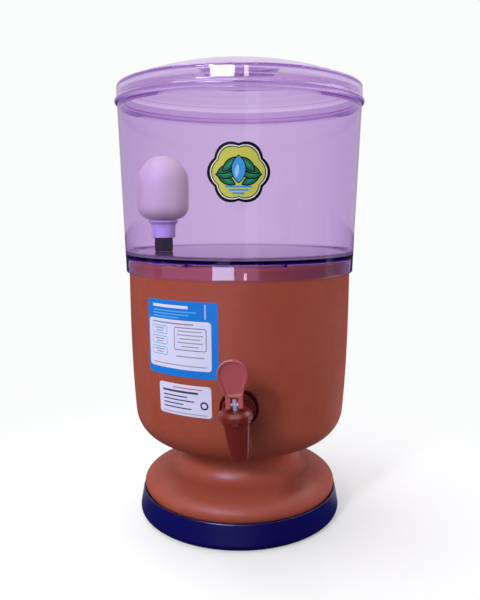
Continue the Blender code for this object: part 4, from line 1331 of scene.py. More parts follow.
@dataclass
class Lid:
    """The clear domed lid with its recessed grip. Heights are above the step that it rests on."""

    lip_radius: float = 0.1162
    band_height: float = 0.0152
    band_wall: float = 0.0021
    band_taper: float = 0.0004
    clearance: float = 0.0004
    bead_proud: float = 0.0018
    bead_height: float = 0.0045
    bead_cove: float = 0.0007
    cove_height: float = 0.0022
    cove_depth: float = 0.0002
    hem_bevel: float = 0.0004
    shoulder: float = 0.003
    inner_drop: float = 0.0005
    inner_shoulder: float = 0.0015
    rise: float = 0.0222
    inset: float = 0.0035
    wall: float = 0.0022
    recess_radius: float = 0.040
    recess_edge: float = 0.0006
    recess_depth: float = 0.0193
    grip_width: float = 0.008
    grip_drop: float = 0.001
    grip_edge: float = 0.0018
    grip_foot: float = 0.004

    def shape(self) -> tuple[float, ...]:
        """Band, dome and recess: the radii and heights that the section uses.

        Returns:
            The band's inner and outer radius and the dome's radius at its foot, then the radius
            and the centre's height of the dome's sphere and of the recess's sphere.
        """
        inside = self.lip_radius + self.clearance
        band = inside + self.band_wall
        base = band - self.inset
        low = self.band_height + self.shoulder
        dome = (base ** 2 + self.rise ** 2) / (2 * self.rise)
        dome_centre = low + self.rise - dome
        mouth = dome_centre + math.sqrt(dome ** 2 - self.recess_radius ** 2)
        bowl = (self.recess_radius ** 2 + self.recess_depth ** 2) / (2 * self.recess_depth)
        return inside, band, base, dome, dome_centre, bowl, mouth - self.recess_depth + bowl

    def meeting(self, dome: float, bowl: float) -> Point:
        """Where a sphere round the dome's centre meets one round the recess's centre.

        Args:
            dome: Radius of the first.
            bowl: Radius of the second.

        Returns:
            Distance from the axis, and height.
        """
        _, _, _, _, centre, _, bowl_centre = self.shape()
        height = (dome ** 2 - bowl ** 2 + bowl_centre ** 2 - centre ** 2) / (2 * (bowl_centre - centre))
        return math.sqrt(dome ** 2 - (height - centre) ** 2), height

    def section(self) -> Outline:
        """The lid's section, from the recess's top face round the band to its underside.

        Returns:
            The section's points.
        """
        inside, band, base, dome, dome_centre, bowl, bowl_centre = self.shape()
        line = cap_line(bowl_centre, bowl, 0.0, self.recess_radius - self.recess_edge, 16, hollow=True)
        line += cap_line(dome_centre, dome, self.recess_radius + self.recess_edge, base, 18)
        shoulder = band - self.band_taper - self.shoulder
        line += arc((shoulder, self.band_height), self.shoulder, 70, 0, 8)
        line += [(band - self.cove_depth, self.bead_height + self.cove_height),
                 (band, self.bead_height + self.bead_cove)]
        bead = (band + self.bead_proud - self.bead_height / 2, self.bead_height / 2)
        line += arc(bead, self.bead_height / 2, 58, -58, 12)
        line += [(band, 0.0), (inside + self.hem_bevel, 0.0), (inside, self.hem_bevel)]
        soft = self.inner_shoulder
        line += [(inside, self.band_height - self.inner_drop - soft)]
        line += arc((inside - soft, self.band_height - soft), soft, 0, 60, 4)
        under, bowl_under = dome - self.wall, bowl + self.wall
        meet = self.meeting(under, bowl_under)[0]
        line += cap_line(dome_centre, under, inside - self.band_wall, meet, 14)
        return line + cap_line(bowl_centre, bowl_under, meet, 0.0, 14, hollow=True)[1:]

    def grip(self) -> Form:
        """The bar that crosses the recess, with a rounded top.

        Returns:
            The bar.
        """
        _, _, _, dome, dome_centre, bowl, bowl_centre = self.shape()
        middle, top = bowl + self.wall / 2, dome - self.grip_drop
        reach, height = self.meeting(top, middle)
        outline = cap_line(bowl_centre, middle, -reach, reach, 32, hollow=True)
        outline += cap_line(dome_centre, top, reach, -reach, 24)[1:-1]
        crest = height + self.grip_foot

        def on_top(edge: bmesh.types.BMEdge) -> bool:
            """Whether an edge runs along the bar's top."""
            first, second = [vert.co for vert in edge.verts]
            return min(first.z, second.z) > crest and abs(first.y - second.y) < SAME_POINT

        return Form.plate(outline, self.grip_width).rounded(self.grip_edge, 4, 40.0, on_top)

    def build(self) -> None:
        """Turn the lid and join its grip."""
        piece = Form.turned(self.section(), LARGE_ROUND).piece("lid_moulding")
        piece = combine(piece, self.grip(), Cut.JOIN)
        piece.data.transform(shift(z=LID_SEAT))
        mount(piece, Body.LID, CLEAR_LID, "lid")


@dataclass
class Candle:
    """The ceramic candle with its base, washers and wing nut. Heights are above the floor."""

    place: Point = (-0.0765, 0.0)
    height: float = 0.0955
    radius: float = 0.0258
    wall: float = 0.0055
    foot: float = 0.033
    edge: float = 0.014
    saucer: float = 0.003
    saucer_lip: float = 0.003
    saucer_drop: float = 0.001
    neck_width: float = 0.024
    stem_radius: float = 0.0055
    stem_bore: float = 0.0025
    stem_length: float = 0.0204
    thread_turns: int = 11
    thread_pitch: float = 0.0016
    thread_depth: float = 0.0005
    bevel: float = 0.0006
    core_radius: float = 0.010
    core_height: float = 0.045
    core_edge: float = 0.001
    # The upper washer is a real gasket, made a 14 mm tall dark rubber boot that stands for the shade round
    # the candle's foot: partly painted shade.
    upper_washer: Point = (0.0092, 0.014)
    lower_washer: Point = (0.011, 0.002)
    washer_edge: float = 0.001
    nut_radius: float = 0.009
    nut_height: float = 0.007
    nut_bevel: float = 0.0008
    wing_span: float = 0.017
    wing_thickness: float = 0.003
    wing_edge: float = 0.0007
    floor: float = 0.003

    def frame(self) -> Matrix:
        """Where the candle's axis meets the container's floor."""
        return shift(*self.place, BOX_SEAT + self.floor)

    def stem_line(self) -> Outline:
        """The threaded stem's section, from its bore up to its last turn.

        Returns:
            The section's points.
        """
        end, soft, radius = -self.floor - self.stem_length, self.bevel, self.stem_radius
        line = [(self.stem_bore, end + soft), (self.stem_bore + soft, end), (radius - soft, end)]
        turns = [end + soft + turn * self.thread_pitch for turn in range(self.thread_turns + 1)]
        for z in turns[:-1]:
            line += [(radius, z), (radius - self.thread_depth, z + self.thread_pitch / 2)]
        return line + [(radius, turns[-1])]

    def base(self) -> Form:
        """The necked base with its saucer and its threaded stem.

        Returns:
            The base.
        """
        low = self.upper_washer[1] + 2 * TOUCH
        top, neck, soft = self.foot - TOUCH, self.neck_width / 2, self.bevel
        rim = self.radius - self.edge + self.saucer_lip
        flare = self.saucer + self.saucer_drop
        under = top - self.saucer - flare
        line = self.stem_line() + [(self.stem_radius, low)]
        line += arc((neck - soft, low + soft), soft, -90, 0, 3) + [(neck, under)]
        line += oval((rim, under), rim - neck, flare, 180, 100, 8)[1:]
        line += arc((rim - self.saucer / 2, top - self.saucer / 2), self.saucer / 2, -80, 90, 8)
        return Form.turned(line + [(self.stem_bore, top)], MEDIUM_ROUND, closed=True)

    def shell(self) -> Form:
        """The ceramic dome, hollow inside.

        Returns:
            The dome.
        """
        top = (0.0, self.height - self.radius)
        edge = (self.radius - self.edge, self.foot + self.edge)
        inner, room = self.radius - self.wall, self.core_radius + SLIDE_GAP
        line = arc(top, self.radius, 90, 0, 22) + arc(edge, self.edge, 0, -90, 12)
        line += [(room, self.foot), (room, self.foot + self.wall), (inner, self.foot + self.edge)]
        return Form.turned(line + arc(top, inner, 0, 90, 14), MEDIUM_ROUND)

    def core(self) -> Form:
        """The carbon block, with its rounded ends."""
        low, high = self.foot, self.foot + self.core_height
        return Form.turned(soft_line(0.0, self.core_radius, low, high, self.core_edge, 3), SMALL_ROUND)

    def washer(self, size: Point, low: float) -> Form:
        """A rubber washer with rounded edges, on the stem.

        Args:
            size: Its radius and thickness.
            low: Height of its lower face.

        Returns:
            The washer's form.
        """
        radius, thick = size
        soft = min(self.washer_edge, thick / 4)
        line = soft_line(self.stem_radius + THREAD_GAP, radius, low, low + thick, soft, 4)
        return Form.turned(line, MEDIUM_ROUND, closed=True)

    def nut_top(self) -> float:
        """Height of the wing nut's upper face."""
        return -self.floor - 2 * TOUCH - self.lower_washer[1]

    def wing_nut(self) -> Thing:
        """The nut with two wings that clamps the candle from below.

        Returns:
            The nut.
        """
        top = self.nut_top()
        low = top - self.nut_height
        bore, thick = self.stem_radius + THREAD_GAP, self.wing_thickness
        line = ring_line(bore, self.nut_radius, low, top, self.nut_bevel)
        nut = Form.turned(line, SMALL_ROUND, closed=True).piece("wing_nut_moulding")
        for side in (-1, 1):
            inner, outer = side * (bore + self.nut_radius) / 2, side * self.wing_span
            wing = [(inner, low + thick / 2), (outer, low - thick)]
            wing += [(outer, top - thick), (inner, top - thick / 2)]
            nut = combine(nut, Form.plate(wing, thick).rounded(self.wing_edge, 3), Cut.JOIN)
        return nut

    def build(self) -> None:
        """Build the candle's pieces on the container's floor."""
        here = self.frame()
        lower = -self.floor - TOUCH - self.lower_washer[1]
        for form, name, finish, node in (
                (self.shell(), "candle_dome", CERAMIC, "candle_shell"),
                (self.base(), "candle_base_moulding", WHITE_PLASTIC, "candle_base"),
                (self.core(), "carbon_block", CARBON, "carbon_core"),
                # The upper washer's dark height stands for shade round the candle's foot.
                (self.washer(self.upper_washer, TOUCH), "upper_washer", RUBBER, "candle_upper_washer"),
                (self.washer(self.lower_washer, lower), "lower_washer", RUBBER, "candle_lower_washer")):
            mount(form.moved(here).piece(name), Body.CONTAINER, finish, node)
        nut = self.wing_nut()
        nut.data.transform(here)
        mount(nut, Body.CONTAINER, WHITE_PLASTIC, "candle_wing_nut")


@dataclass
class FloatValve:
    """The valve under the candle's stem, and the float that shuts it."""

    candle: Candle
    radius: float = 0.0085
    hub_height: float = 0.007
    cage_wall: float = 0.0018
    cage_height: float = 0.012
    cage_bevel: float = 0.0005
    collar: float = 0.003
    windows: int = 3
    window_width: float = 0.008
    travel: float = 0.005
    rod_radius: float = 0.002
    rod_bevel: float = 0.0003
    tip_radius: float = 0.0042
    tip_height: float = 0.003
    tip_edge: float = 0.0006
    float_radius: float = 0.0195
    float_height: float = 0.026
    shell_wall: float = 0.0012
    lip: float = 0.0025

    def levels(self) -> tuple[float, float, float, float]:
        """Heights of the valve's parts.

        Returns:
            Those of the hub's top and underside, and of the collar's top and underside.
        """
        hub_top = self.candle.nut_top() - self.candle.nut_height - TOUCH
        hub_low = hub_top - self.hub_height
        collar_top = hub_low - self.cage_height
        return hub_top, hub_low, collar_top, collar_top - self.collar

    def body(self) -> Thing:
        """The cage with its windows and its guide collar.

        Returns:
            The valve's body, in its place.
        """
        hub_top, hub_low, collar_top, collar_low = self.levels()
        room, guide = self.radius - self.cage_wall, self.rod_radius + SLIDE_GAP
        bore = self.candle.stem_radius + THREAD_GAP
        line = ring_line(guide, self.radius, collar_low, hub_top, self.cage_bevel)[:-1] + [(bore, hub_top)]
        line += [(bore, hub_low), (room, hub_low), (room, collar_top), (guide, collar_top)]
        body = Form.turned(line, SMALL_ROUND, closed=True).piece("float_valve_cage")
        high = -self.candle.floor - self.candle.stem_length - TOUCH
        low, wide = collar_top + self.window_width / 4, 2 * self.radius
        for window in range(self.windows):
            tool = Form.plate([(0.0, low), (wide, low), (wide, high), (0.0, high)], self.window_width)
            body = combine(body, tool.moved(turn(360.0 * window / self.windows, "Z")), Cut.REMOVE)
        body.data.transform(self.candle.frame())
        return body

    def upper_shell(self, middle: float, rod_top: float) -> Form:
        """The float's upper shell with its guide rod.

        Args:
            middle: Height of the float's middle.
            rod_top: Height of the rod's end.

        Returns:
            The shell.
        """
        rise, inner = self.float_height / 2 - self.lip, self.float_radius - self.shell_wall
        rod, soft = self.rod_radius, self.rod_bevel
        line = [(0.0, rod_top), (rod - soft, rod_top), (rod, rod_top - soft)]
        line += oval((rod, middle + self.lip), self.float_radius - rod, rise, 90, 0, 16)
        line += [(self.float_radius, middle), (inner, middle)]
        line += oval((0.0, middle + self.lip), inner, rise - self.shell_wall, 0, 90, 12)
        return Form.turned(line, MEDIUM_ROUND)

    def lower_shell(self, seam: float) -> Form:
        """The float's lower shell, with the lip that goes into the upper one.

        Args:
            seam: Height of its outer wall's upper edge.

        Returns:
            The shell.
        """
        rise, plug = self.float_height / 2 - self.lip, self.float_radius - self.shell_wall - TOUCH
        inner, high, low = plug - self.shell_wall, seam + self.lip, seam - self.lip
        line = oval((0.0, low), self.float_radius, rise, -90, 0, 16)
        line += [(self.float_radius, seam), (plug, seam), (plug, high), (inner, high), (inner, low)]
        line += oval((0.0, low), inner, rise - self.shell_wall, 0, -90, 12)[1:]
        return Form.turned(line, MEDIUM_ROUND)

    def tip(self, low: float, rod_top: float) -> Form:
        """The rubber tip on the rod's end.

        Args:
            low: Height of its lower edge.
            rod_top: Height of the rod's end.

        Returns:
            The tip.
        """
        top, socket, soft = low + self.tip_height, self.rod_radius + TOUCH, self.tip_edge
        line = [(0.0, top)] + arc((self.tip_radius - soft, top - soft), soft, 90, 0, 4)
        line += [(self.tip_radius, low), (socket, low), (socket, rod_top + TOUCH), (0.0, rod_top + TOUCH)]
        return Form.turned(line, SMALL_ROUND)

    def build(self) -> None:
        """Build the valve on the stem's end and the float under it."""
        _, _, collar_top, collar_low = self.levels()
        mount(self.body(), Body.CONTAINER, WHITE_PLASTIC, "float_valve_body")
        low = collar_top + TOUCH
        rod_top = low + self.tip_height / 2
        middle = collar_low - self.travel - 2 * TOUCH - self.float_height / 2
        for form, name, finish, node in (
                (self.tip(low, rod_top), "float_rubber", RUBBER, "float_tip"),
                (self.upper_shell(middle, rod_top), "float_top_shell", WHITE_PLASTIC, "float_upper_shell"),
                (self.lower_shell(middle - TOUCH), "float_bottom_shell", WHITE_PLASTIC, "float_lower_shell")):
            mount(form.moved(self.candle.frame()).piece(name), Body.FLOAT, finish, node)


@dataclass
class Tap:
    """The lever tap, in a frame whose Y runs along the shank and whose Z is the barrel's axis."""

    clay: Reservoir
    height: float = 0.1387
    side: float = -0.0004
    pitch: float = 4.0
    tilt: float = 4.5
    yaw: float = 3.0
    reach: float = 0.039
    # Shank, flange and hub
    shank_radius: float = 0.0069
    shank_bore: float = 0.0038
    shank_end: float = 0.002
    shank_bevel: float = 0.0006
    thread_turns: int = 11
    thread_depth: float = 0.0005
    thread_rest: float = 0.0008
    thread_crest: float = 0.15
    thread_root: float = 0.65
    flange_radius: float = 0.0148
    flange: float = 0.0024
    flange_edge: float = 0.0006
    flange_step: float = 0.0009
    ring_width: float = 0.0028
    ring_bevel: float = 0.0008
    hub_radius: float = 0.0085
    hub_length: float = 0.003
    neck_radius: float = 0.0059
    # Washers and back nut
    outer_washer: Point = (0.0172, 0.0022)
    inner_washer: Point = (0.012, 0.0024)
    washer_fit: float = 0.0018
    wall_gap: float = 0.0001
    wall_reach: float = 0.034
    nut_radius: float = 0.012
    nut_height: float = 0.0068
    nut_edge: float = 0.0006
    # Barrel and spout
    barrel_radius: float = 0.0106
    barrel_bore: float = 0.008
    barrel_edge: float = 0.0004
    collar_radius: float = 0.0122
    collar_height: float = 0.0028
    collar_edge: float = 0.0005
    seat_depth: float = 0.006
    spout_top: float = 0.0109
    spout_root: float = 0.0002
    spout_bulge: float = 0.0003
    spout_end: float = 0.00715
    spout_edge: float = 0.0005
    spout_length: float = 0.0285
    outlet_bore: float = 0.0052
    outlet_flare: float = 0.0012
    outlet_depth: float = 0.001
    past_outlet: float = 0.0004
    past_barrel: float = 0.03
    past_shank: float = 0.05
    # Cap nut, whose curved edge has points out from its corners and down from its top
    cap_radius: float = 0.0142
    cap_facets: int = 12
    cap_height: float = 0.0078
    cap_edge: float = 0.0007
    cap_shoulder: float = 0.0012
    cap_curve: tuple[Point, ...] = ((-0.0004, 0.0026), (0.0002, 0.0042))
    cap_clear: float = 0.0002
    cap_foot: Point = (0.0009, 0.0012)
    cap_wall: float = 0.0022
    cap_hole: float = 0.0032
    # Seal, stem and plug
    seal_thickness: float = 0.0016
    seal_bore: float = 0.0028
    seal_bevel: float = 0.0003
    rod_radius: float = 0.0024
    rod_bevel: float = 0.0003
    eye_radius: float = 0.0027
    tip_radius: float = 0.0017
    tip_height: float = 0.0049
    tip_edge: float = 0.0005
    plug_radius: float = 0.0066
    plug_height: float = 0.004
    plug_neck: float = 0.0036
    plug_cone: float = 0.002
    plug_lip: Point = (0.0004, 0.0008)
    # Lever and pin, with the paddle's dish as widths and depths of its rings, from the rim inward
    cam_radius: float = 0.0032
    cam_gap: float = 0.0009
    cam_lift: float = 0.0029
    swing: float = 80.0
    pin_radius: float = 0.00125
    pin_hole: float = 0.0014
    pin_reach: float = 0.01
    fork_gap: float = 0.0062
    fork_width: float = 0.0138
    prong_depth: float = 0.0042
    prong_edge: float = 0.0004
    paddle_base: float = 0.0068
    paddle_base_width: float = 0.014
    paddle_radius: float = 0.0124
    paddle_centre: float = 0.0259
    paddle_thickness: float = 0.0042
    paddle_edge: float = 0.0008
    paddle_rings: tuple[Point, ...] = ((0.0013, 0.0), (0.0005, 0.0005), (0.0008, 0.0005), (0.0012, 0.0003),
                                       (0.0016, 0.0001))

    def frame(self) -> Matrix:
        """The tap's frame, on the clay wall.

        Returns:
            The frame.
        """
        wall = self.clay.outer_radius(self.height - CLAY_SEAT)
        lean = Euler([math.radians(angle) for angle in (self.pitch, -self.tilt, -self.yaw)])
        return shift(self.side, -wall, self.height) @ lean.to_matrix().to_4x4()

    def barrel(self) -> Matrix:
        """The barrel's frame, on the shank's axis."""
        return self.frame() @ shift(y=-self.reach)

    def outward(self) -> Matrix:
        """The frame whose Z points outward along the shank, from the wall."""
        return self.frame() @ turn(90.0, "X")

    def pin_frame(self) -> Matrix:
        """The frame of the lever's pin."""
        return self.barrel() @ shift(z=self.levels()[4])

    def levels(self) -> tuple[float, float, float, float, float]:
        """Heights along the barrel's axis.

        Returns:
            Those of the cap's foot and top, the seal's top, the barrel's top and the pin.
        """
        low = self.neck_radius + TOUCH
        top = low + self.cap_height
        seal_top = top - self.cap_wall - TOUCH
        barrel_top = seal_top - self.seal_thickness - TOUCH
        return low, top, seal_top, barrel_top, top + self.cam_radius + self.cam_gap

    def drill(self, radius: float, near: float, far: float) -> Form:
        """A round tool along the shank, between two distances outward from the wall."""
        return Form.turned(rod_line(radius, near, far), MEDIUM_ROUND).moved(self.outward())

    def upright(self) -> Outline:
        """Section of the barrel, its collar and the tapered spout.

        Returns:
            The section's points.
        """
        top, neck, end = self.levels()[3], self.neck_radius, self.spout_length
        low, edge, soft = neck - self.collar_height, self.barrel_edge, self.collar_edge
        step = (self.collar_radius - self.spout_top) / 2
        line = [(0.0, top), (self.barrel_radius - edge, top), (self.barrel_radius, top - edge)]
        line += [(self.barrel_radius, neck)] + arc((self.collar_radius - edge, neck - edge), edge, 90, 0, 3)
        line += arc((self.collar_radius - soft, low + soft), soft, 0, -60, 3)
        line += [(self.spout_top + self.spout_root, low - step / 2), (self.spout_top, low - step)]
        for share in spread(0.1, 0.9, 8):
            radius = self.spout_top + (self.spout_end - self.spout_top) * share
            bulge = self.spout_bulge * math.sin(math.pi * share)
            line.append((radius + bulge, low - step - (end + low - step) * share))
        line += arc((self.spout_end - self.spout_edge, self.spout_edge - end), self.spout_edge, 20, -90, 5)
        return line + [(0.0, -end)]

    def arm(self) -> Outline:
        """Section of the shank, the ringed flange and the neck, outward from the wall.

        Returns:
            The section's points.
        """
        face = self.outer_washer[1] + 2 * TOUCH
        back = -(self.clay.wall + self.inner_washer[1] + self.nut_height + self.shank_end + 3 * TOUCH)
        hub, soft = face + self.flange, self.flange_edge
        ring, rim = self.flange_radius - self.ring_width, self.flange_radius - soft
        ledge = hub - self.flange_step
        line = [(0.0, self.reach), (self.neck_radius, self.reach), (self.neck_radius, hub + self.hub_length)]
        line += oval((self.hub_radius, hub + self.hub_length), self.hub_radius - self.neck_radius,
                     self.hub_length, 180, 270, 6)[1:]
        line += [(ring - self.ring_bevel, hub)] + arc((ring, hub - soft), soft, 60, 0, 3)
        line += [(ring + soft, ledge), (rim, ledge)] + arc((rim, ledge - soft), soft, 90, 0, 4)
        line += [(self.flange_radius, face), (self.shank_radius, face)]
        pitch = (face - TOUCH - back - self.thread_rest) / self.thread_turns
        for thread in range(self.thread_turns):
            z = face - TOUCH - thread * pitch
            line += [(self.shank_radius, z - pitch * self.thread_crest)]
            line += [(self.shank_radius - self.thread_depth, z - pitch * self.thread_root)]
        return line + [(self.shank_radius - self.shank_bevel, back), (0.0, back)]

    def body(self) -> Thing:
        """The moulded body: shank, flange, neck, barrel and spout, with its water way.

        Returns:
            The body.
        """
        bore, outlet, end = self.barrel_bore, self.outlet_bore, -self.spout_length
        body = Form.turned(self.upright(), MEDIUM_ROUND).moved(self.barrel()).piece("tap_moulding")
        arm = Form.turned(self.arm(), MEDIUM_ROUND).moved(self.outward())
        body = combine(body, arm, Cut.JOIN, SHARP_TAP)
        chamber = [(0.0, self.past_barrel), (bore, self.past_barrel), (bore, self.levels()[3])]
        chamber += [(bore, -self.seat_depth), (outlet, -self.seat_depth), (outlet, end + self.outlet_depth)]
        chamber += [(outlet + self.outlet_flare, end - self.past_outlet), (0.0, end - self.past_outlet)]
        body = combine(body, Form.turned(chamber, MEDIUM_ROUND).moved(self.barrel()), Cut.REMOVE, SHARP_TAP)
        return combine(body, self.drill(self.shank_bore, -self.past_shank, self.reach), Cut.REMOVE, SHARP_TAP)

    def wall_form(self, offset: float) -> Form:
        """The clay wall's outer shape round the tap, larger or smaller by an offset.

        Args:
            offset: How much larger it is.

        Returns:
            The shape, as a solid tool.
        """
        middle = self.height - CLAY_SEAT
        heights = spread(middle + self.wall_reach, middle - self.wall_reach, 12)
        line = [(0.0, heights[0])] + [(self.clay.outer_radius(z) + offset, z) for z in heights]
        return Form.turned(line + [(0.0, heights[-1])], LARGE_ROUND).moved(shift(z=CLAY_SEAT))

    def washer(self, name: str, size: Point, low: float, high: float) -> Thing:
        """A round rubber washer along the shank, between two distances from the wall."""
        line = ring_line(self.shank_radius + THREAD_GAP, size[0], low, high, size[1] / 4)
        return Form.turned(line, MEDIUM_ROUND, closed=True).moved(self.outward()).piece(name)

    def fixings(self) -> None:
        """The two washers, shaped to the wall, and the back nut."""
        outer = self.washer("outer_washer", self.outer_washer, -self.washer_fit, self.outer_washer[1] + TOUCH)
        outer = combine(outer, self.wall_form(self.wall_gap), Cut.REMOVE)
        mount(outer, Body.RESERVOIR, BROWN_RUBBER, "tap_outer_washer")
        seat = -self.clay.wall - self.inner_washer[1] - TOUCH
        inner = self.washer("inner_washer", self.inner_washer, seat, self.washer_fit - self.clay.wall)
        inner = combine(inner, self.wall_form(-self.clay.wall - self.wall_gap), Cut.KEEP)
        mount(inner, Body.RESERVOIR, BROWN_RUBBER, "tap_inner_washer")
        front = seat - TOUCH
        back = front - self.nut_height
        nut = Form.prism(6, self.nut_radius, back, front).rounded(self.nut_edge, 3)
        nut = nut.moved(self.outward()).piece("back_nut")
        hole = self.drill(self.shank_radius + THREAD_GAP, back - self.nut_height, 0.0)
        mount(combine(nut, hole, Cut.REMOVE), Body.RESERVOIR, RED, "tap_back_nut")

    def cap_nut(self) -> Thing:
        """The faceted nut that closes the barrel, its facets cut to curves at the top.

        Returns:
            The nut.
        """
        low, top, _, _, _ = self.levels()
        corner, soft = self.cap_radius, self.cap_shoulder
        wide, room = corner + self.cap_clear, self.barrel_radius + THREAD_GAP
        nut = Form.prism(self.cap_facets, corner, low, top).rounded(self.cap_edge, 3, 20.0, is_upright)
        nut = nut.moved(turn(180.0 / self.cap_facets, "Z"))
        piece = nut.moved(self.barrel()).piece("cap_nut")
        line = [(0.0, top)] + arc((corner - 3 * soft, top - soft), soft, 90, 55, 4)
        line += [(corner + out, top - down) for out, down in self.cap_curve]
        line += [(wide, low + self.cap_foot[1]), (corner - self.cap_foot[0], low), (0.0, low)]
        inside = Form.turned(rod_line(room, 0.0, top - self.cap_wall), MEDIUM_ROUND)
        hole = Form.turned(rod_line(self.cap_hole, low, top + self.cap_height), SMALL_ROUND)
        crown = Form.turned(line, LARGE_ROUND)
        for tool, cut in ((crown, Cut.KEEP), (inside, Cut.REMOVE), (hole, Cut.REMOVE)):
            piece = combine(piece, tool.moved(self.barrel()), cut, SHARP_FACET)
        return piece

    def seal(self) -> Form:
        """The silicone ring round the stem, under the cap.

        Returns:
            The ring.
        """
        _, _, high, barrel_top, _ = self.levels()
        line = ring_line(self.seal_bore, self.barrel_radius, barrel_top + TOUCH, high, self.seal_bevel)
        return Form.turned(line, MEDIUM_ROUND, closed=True).moved(self.barrel())

    def stem(self) -> Thing:
        """The white stem with its eye for the pin.

        Returns:
            The stem.
        """
        waist, foot = (math.degrees(math.asin(radius / self.eye_radius))
                       for radius in (self.tip_radius, self.rod_radius))
        low = TOUCH - self.seat_depth + self.plug_height + TOUCH - self.levels()[4]
        rod, soft, edge = self.rod_radius, self.rod_bevel, self.tip_edge
        line = [(0.0, self.tip_height)]
        line += arc((self.tip_radius - edge, self.tip_height - edge), edge, 90, 0, 4)
        line += arc((0.0, 0.0), self.eye_radius, 90 - waist, foot - 90, 14)
        line += [(rod, low + soft), (rod - soft, low), (0.0, low)]
        stem = Form.turned(line, SMALL_ROUND).moved(self.pin_frame()).piece("stem_moulding")
        return combine(stem, self.cross_bar(self.pin_hole, self.pin_reach), Cut.REMOVE)

    def cross_bar(self, radius: float, half: float) -> Form:
        """A round bar across the fork, along the pin, with bevelled ends and half its length given."""
        bar = Form.turned(ring_line(0.0, radius, -half, half, radius / 5)[::-1], PIN_ROUND)
        return bar.moved(self.pin_frame() @ turn(90.0, "Y"))

    def plug(self) -> Form:
        """The silicone plug on the stem's foot.

        Returns:
            The plug.
        """
        low, wide, height = TOUCH - self.seat_depth, self.plug_radius, self.plug_height
        mouth, point = self.outlet_bore - SLIDE_GAP, low - self.plug_cone
        line = [(0.0, low + height), (self.plug_neck, low + height), (self.plug_neck, low + height / 2)]
        line += [(wide - self.plug_lip[0], low + height / 3), (wide, low + self.plug_lip[1]), (wide, low)]
        line += [(mouth, low), (mouth / 2, point), (0.0, point)]
        return Form.turned(line, SMALL_ROUND).moved(self.barrel())

    def paddle(self) -> Form:
        """The paddle: a round head on tapering sides, with a shallow dish in its front.

        Returns:
            The paddle, round the pin's frame.
        """
        half, down = self.paddle_base_width / 2, self.paddle_centre - self.paddle_base
        far = math.hypot(half, down)
        tangent = math.degrees(math.acos(self.paddle_radius / far) - math.atan2(down, half))
        head = arc((0.0, self.paddle_centre), self.paddle_radius, tangent, 180 - tangent, 48)
        outline = [(half, self.paddle_base)] + head + [(-half, self.paddle_base)]
        form = Form.plate(outline, self.paddle_thickness)
        front = min(form.bm.faces, key=lambda face: face.calc_center_median().y)
        for inward, drop in self.paddle_rings:
            bmesh.ops.inset_region(form.bm, faces=[front], thickness=inward, depth=-drop)
        return form.rounded(self.paddle_edge, 3, 50.0)

    def prong(self) -> Form:
        """One prong of the fork: a cam round the pin that grows towards the front.

        Returns:
            The prong, flat across the pin's axis.
        """
        half = self.prong_depth / 2
        line = [(half, self.paddle_base + half), (self.cam_radius, 0.0)]
        for angle in range(-75, 91, 5):
            growth = self.cam_lift * min(max(angle, 0.0), self.swing) / self.swing
            reach, way = self.cam_radius + growth, math.radians(angle)
            line.append((-reach * math.sin(way), -reach * math.cos(way)))
        line += [(-half, self.paddle_base), (-half, self.paddle_base + half)]
        return Form.plate(line, (self.fork_width - self.fork_gap) / 2).rounded(self.prong_edge, 2, 50.0)

    def lever(self) -> Thing:
        """The lever: the paddle on its fork, with the pin's hole.

        Returns:
            The lever.
        """
        lever = self.paddle().piece("lever_moulding")
        aside = (self.fork_gap + (self.fork_width - self.fork_gap) / 2) / 2
        for side in (-1, 1):
            prong = self.prong().moved(shift(x=side * aside) @ turn(90.0, "Z"))
            lever = combine(lever, prong, Cut.JOIN, SHARP_TAP)
        lever.data.transform(self.pin_frame())
        return combine(lever, self.cross_bar(self.pin_hole, 2 * self.pin_reach), Cut.REMOVE, SHARP_TAP)

    def build(self) -> None:
        """Build every piece of the tap."""
        mount(self.body(), Body.RESERVOIR, RED, "tap_body")
        self.fixings()
        mount(self.cap_nut(), Body.RESERVOIR, RED, "tap_cap_nut")
        mount(self.seal().piece("stem_seal"), Body.RESERVOIR, SILICONE, "tap_seal")
        # The stem's finish is its white plastic painted darker, a painted shade.
        mount(self.stem(), Body.STEM, STEM_PLASTIC_PAINTED_SHADE, "valve_stem")
        mount(self.plug().piece("stem_plug"), Body.STEM, SILICONE, "valve_plug")
        # The lever's finish is painted paler than the body's red, a painted highlight.
        mount(self.lever(), Body.LEVER, LEVER_RED_PAINTED_LIT, "tap_lever")
        pin = self.cross_bar(self.pin_radius, self.fork_width / 2 - TOUCH)
        mount(pin.piece("steel_pin"), Body.LEVER, STEEL, "lever_pin")


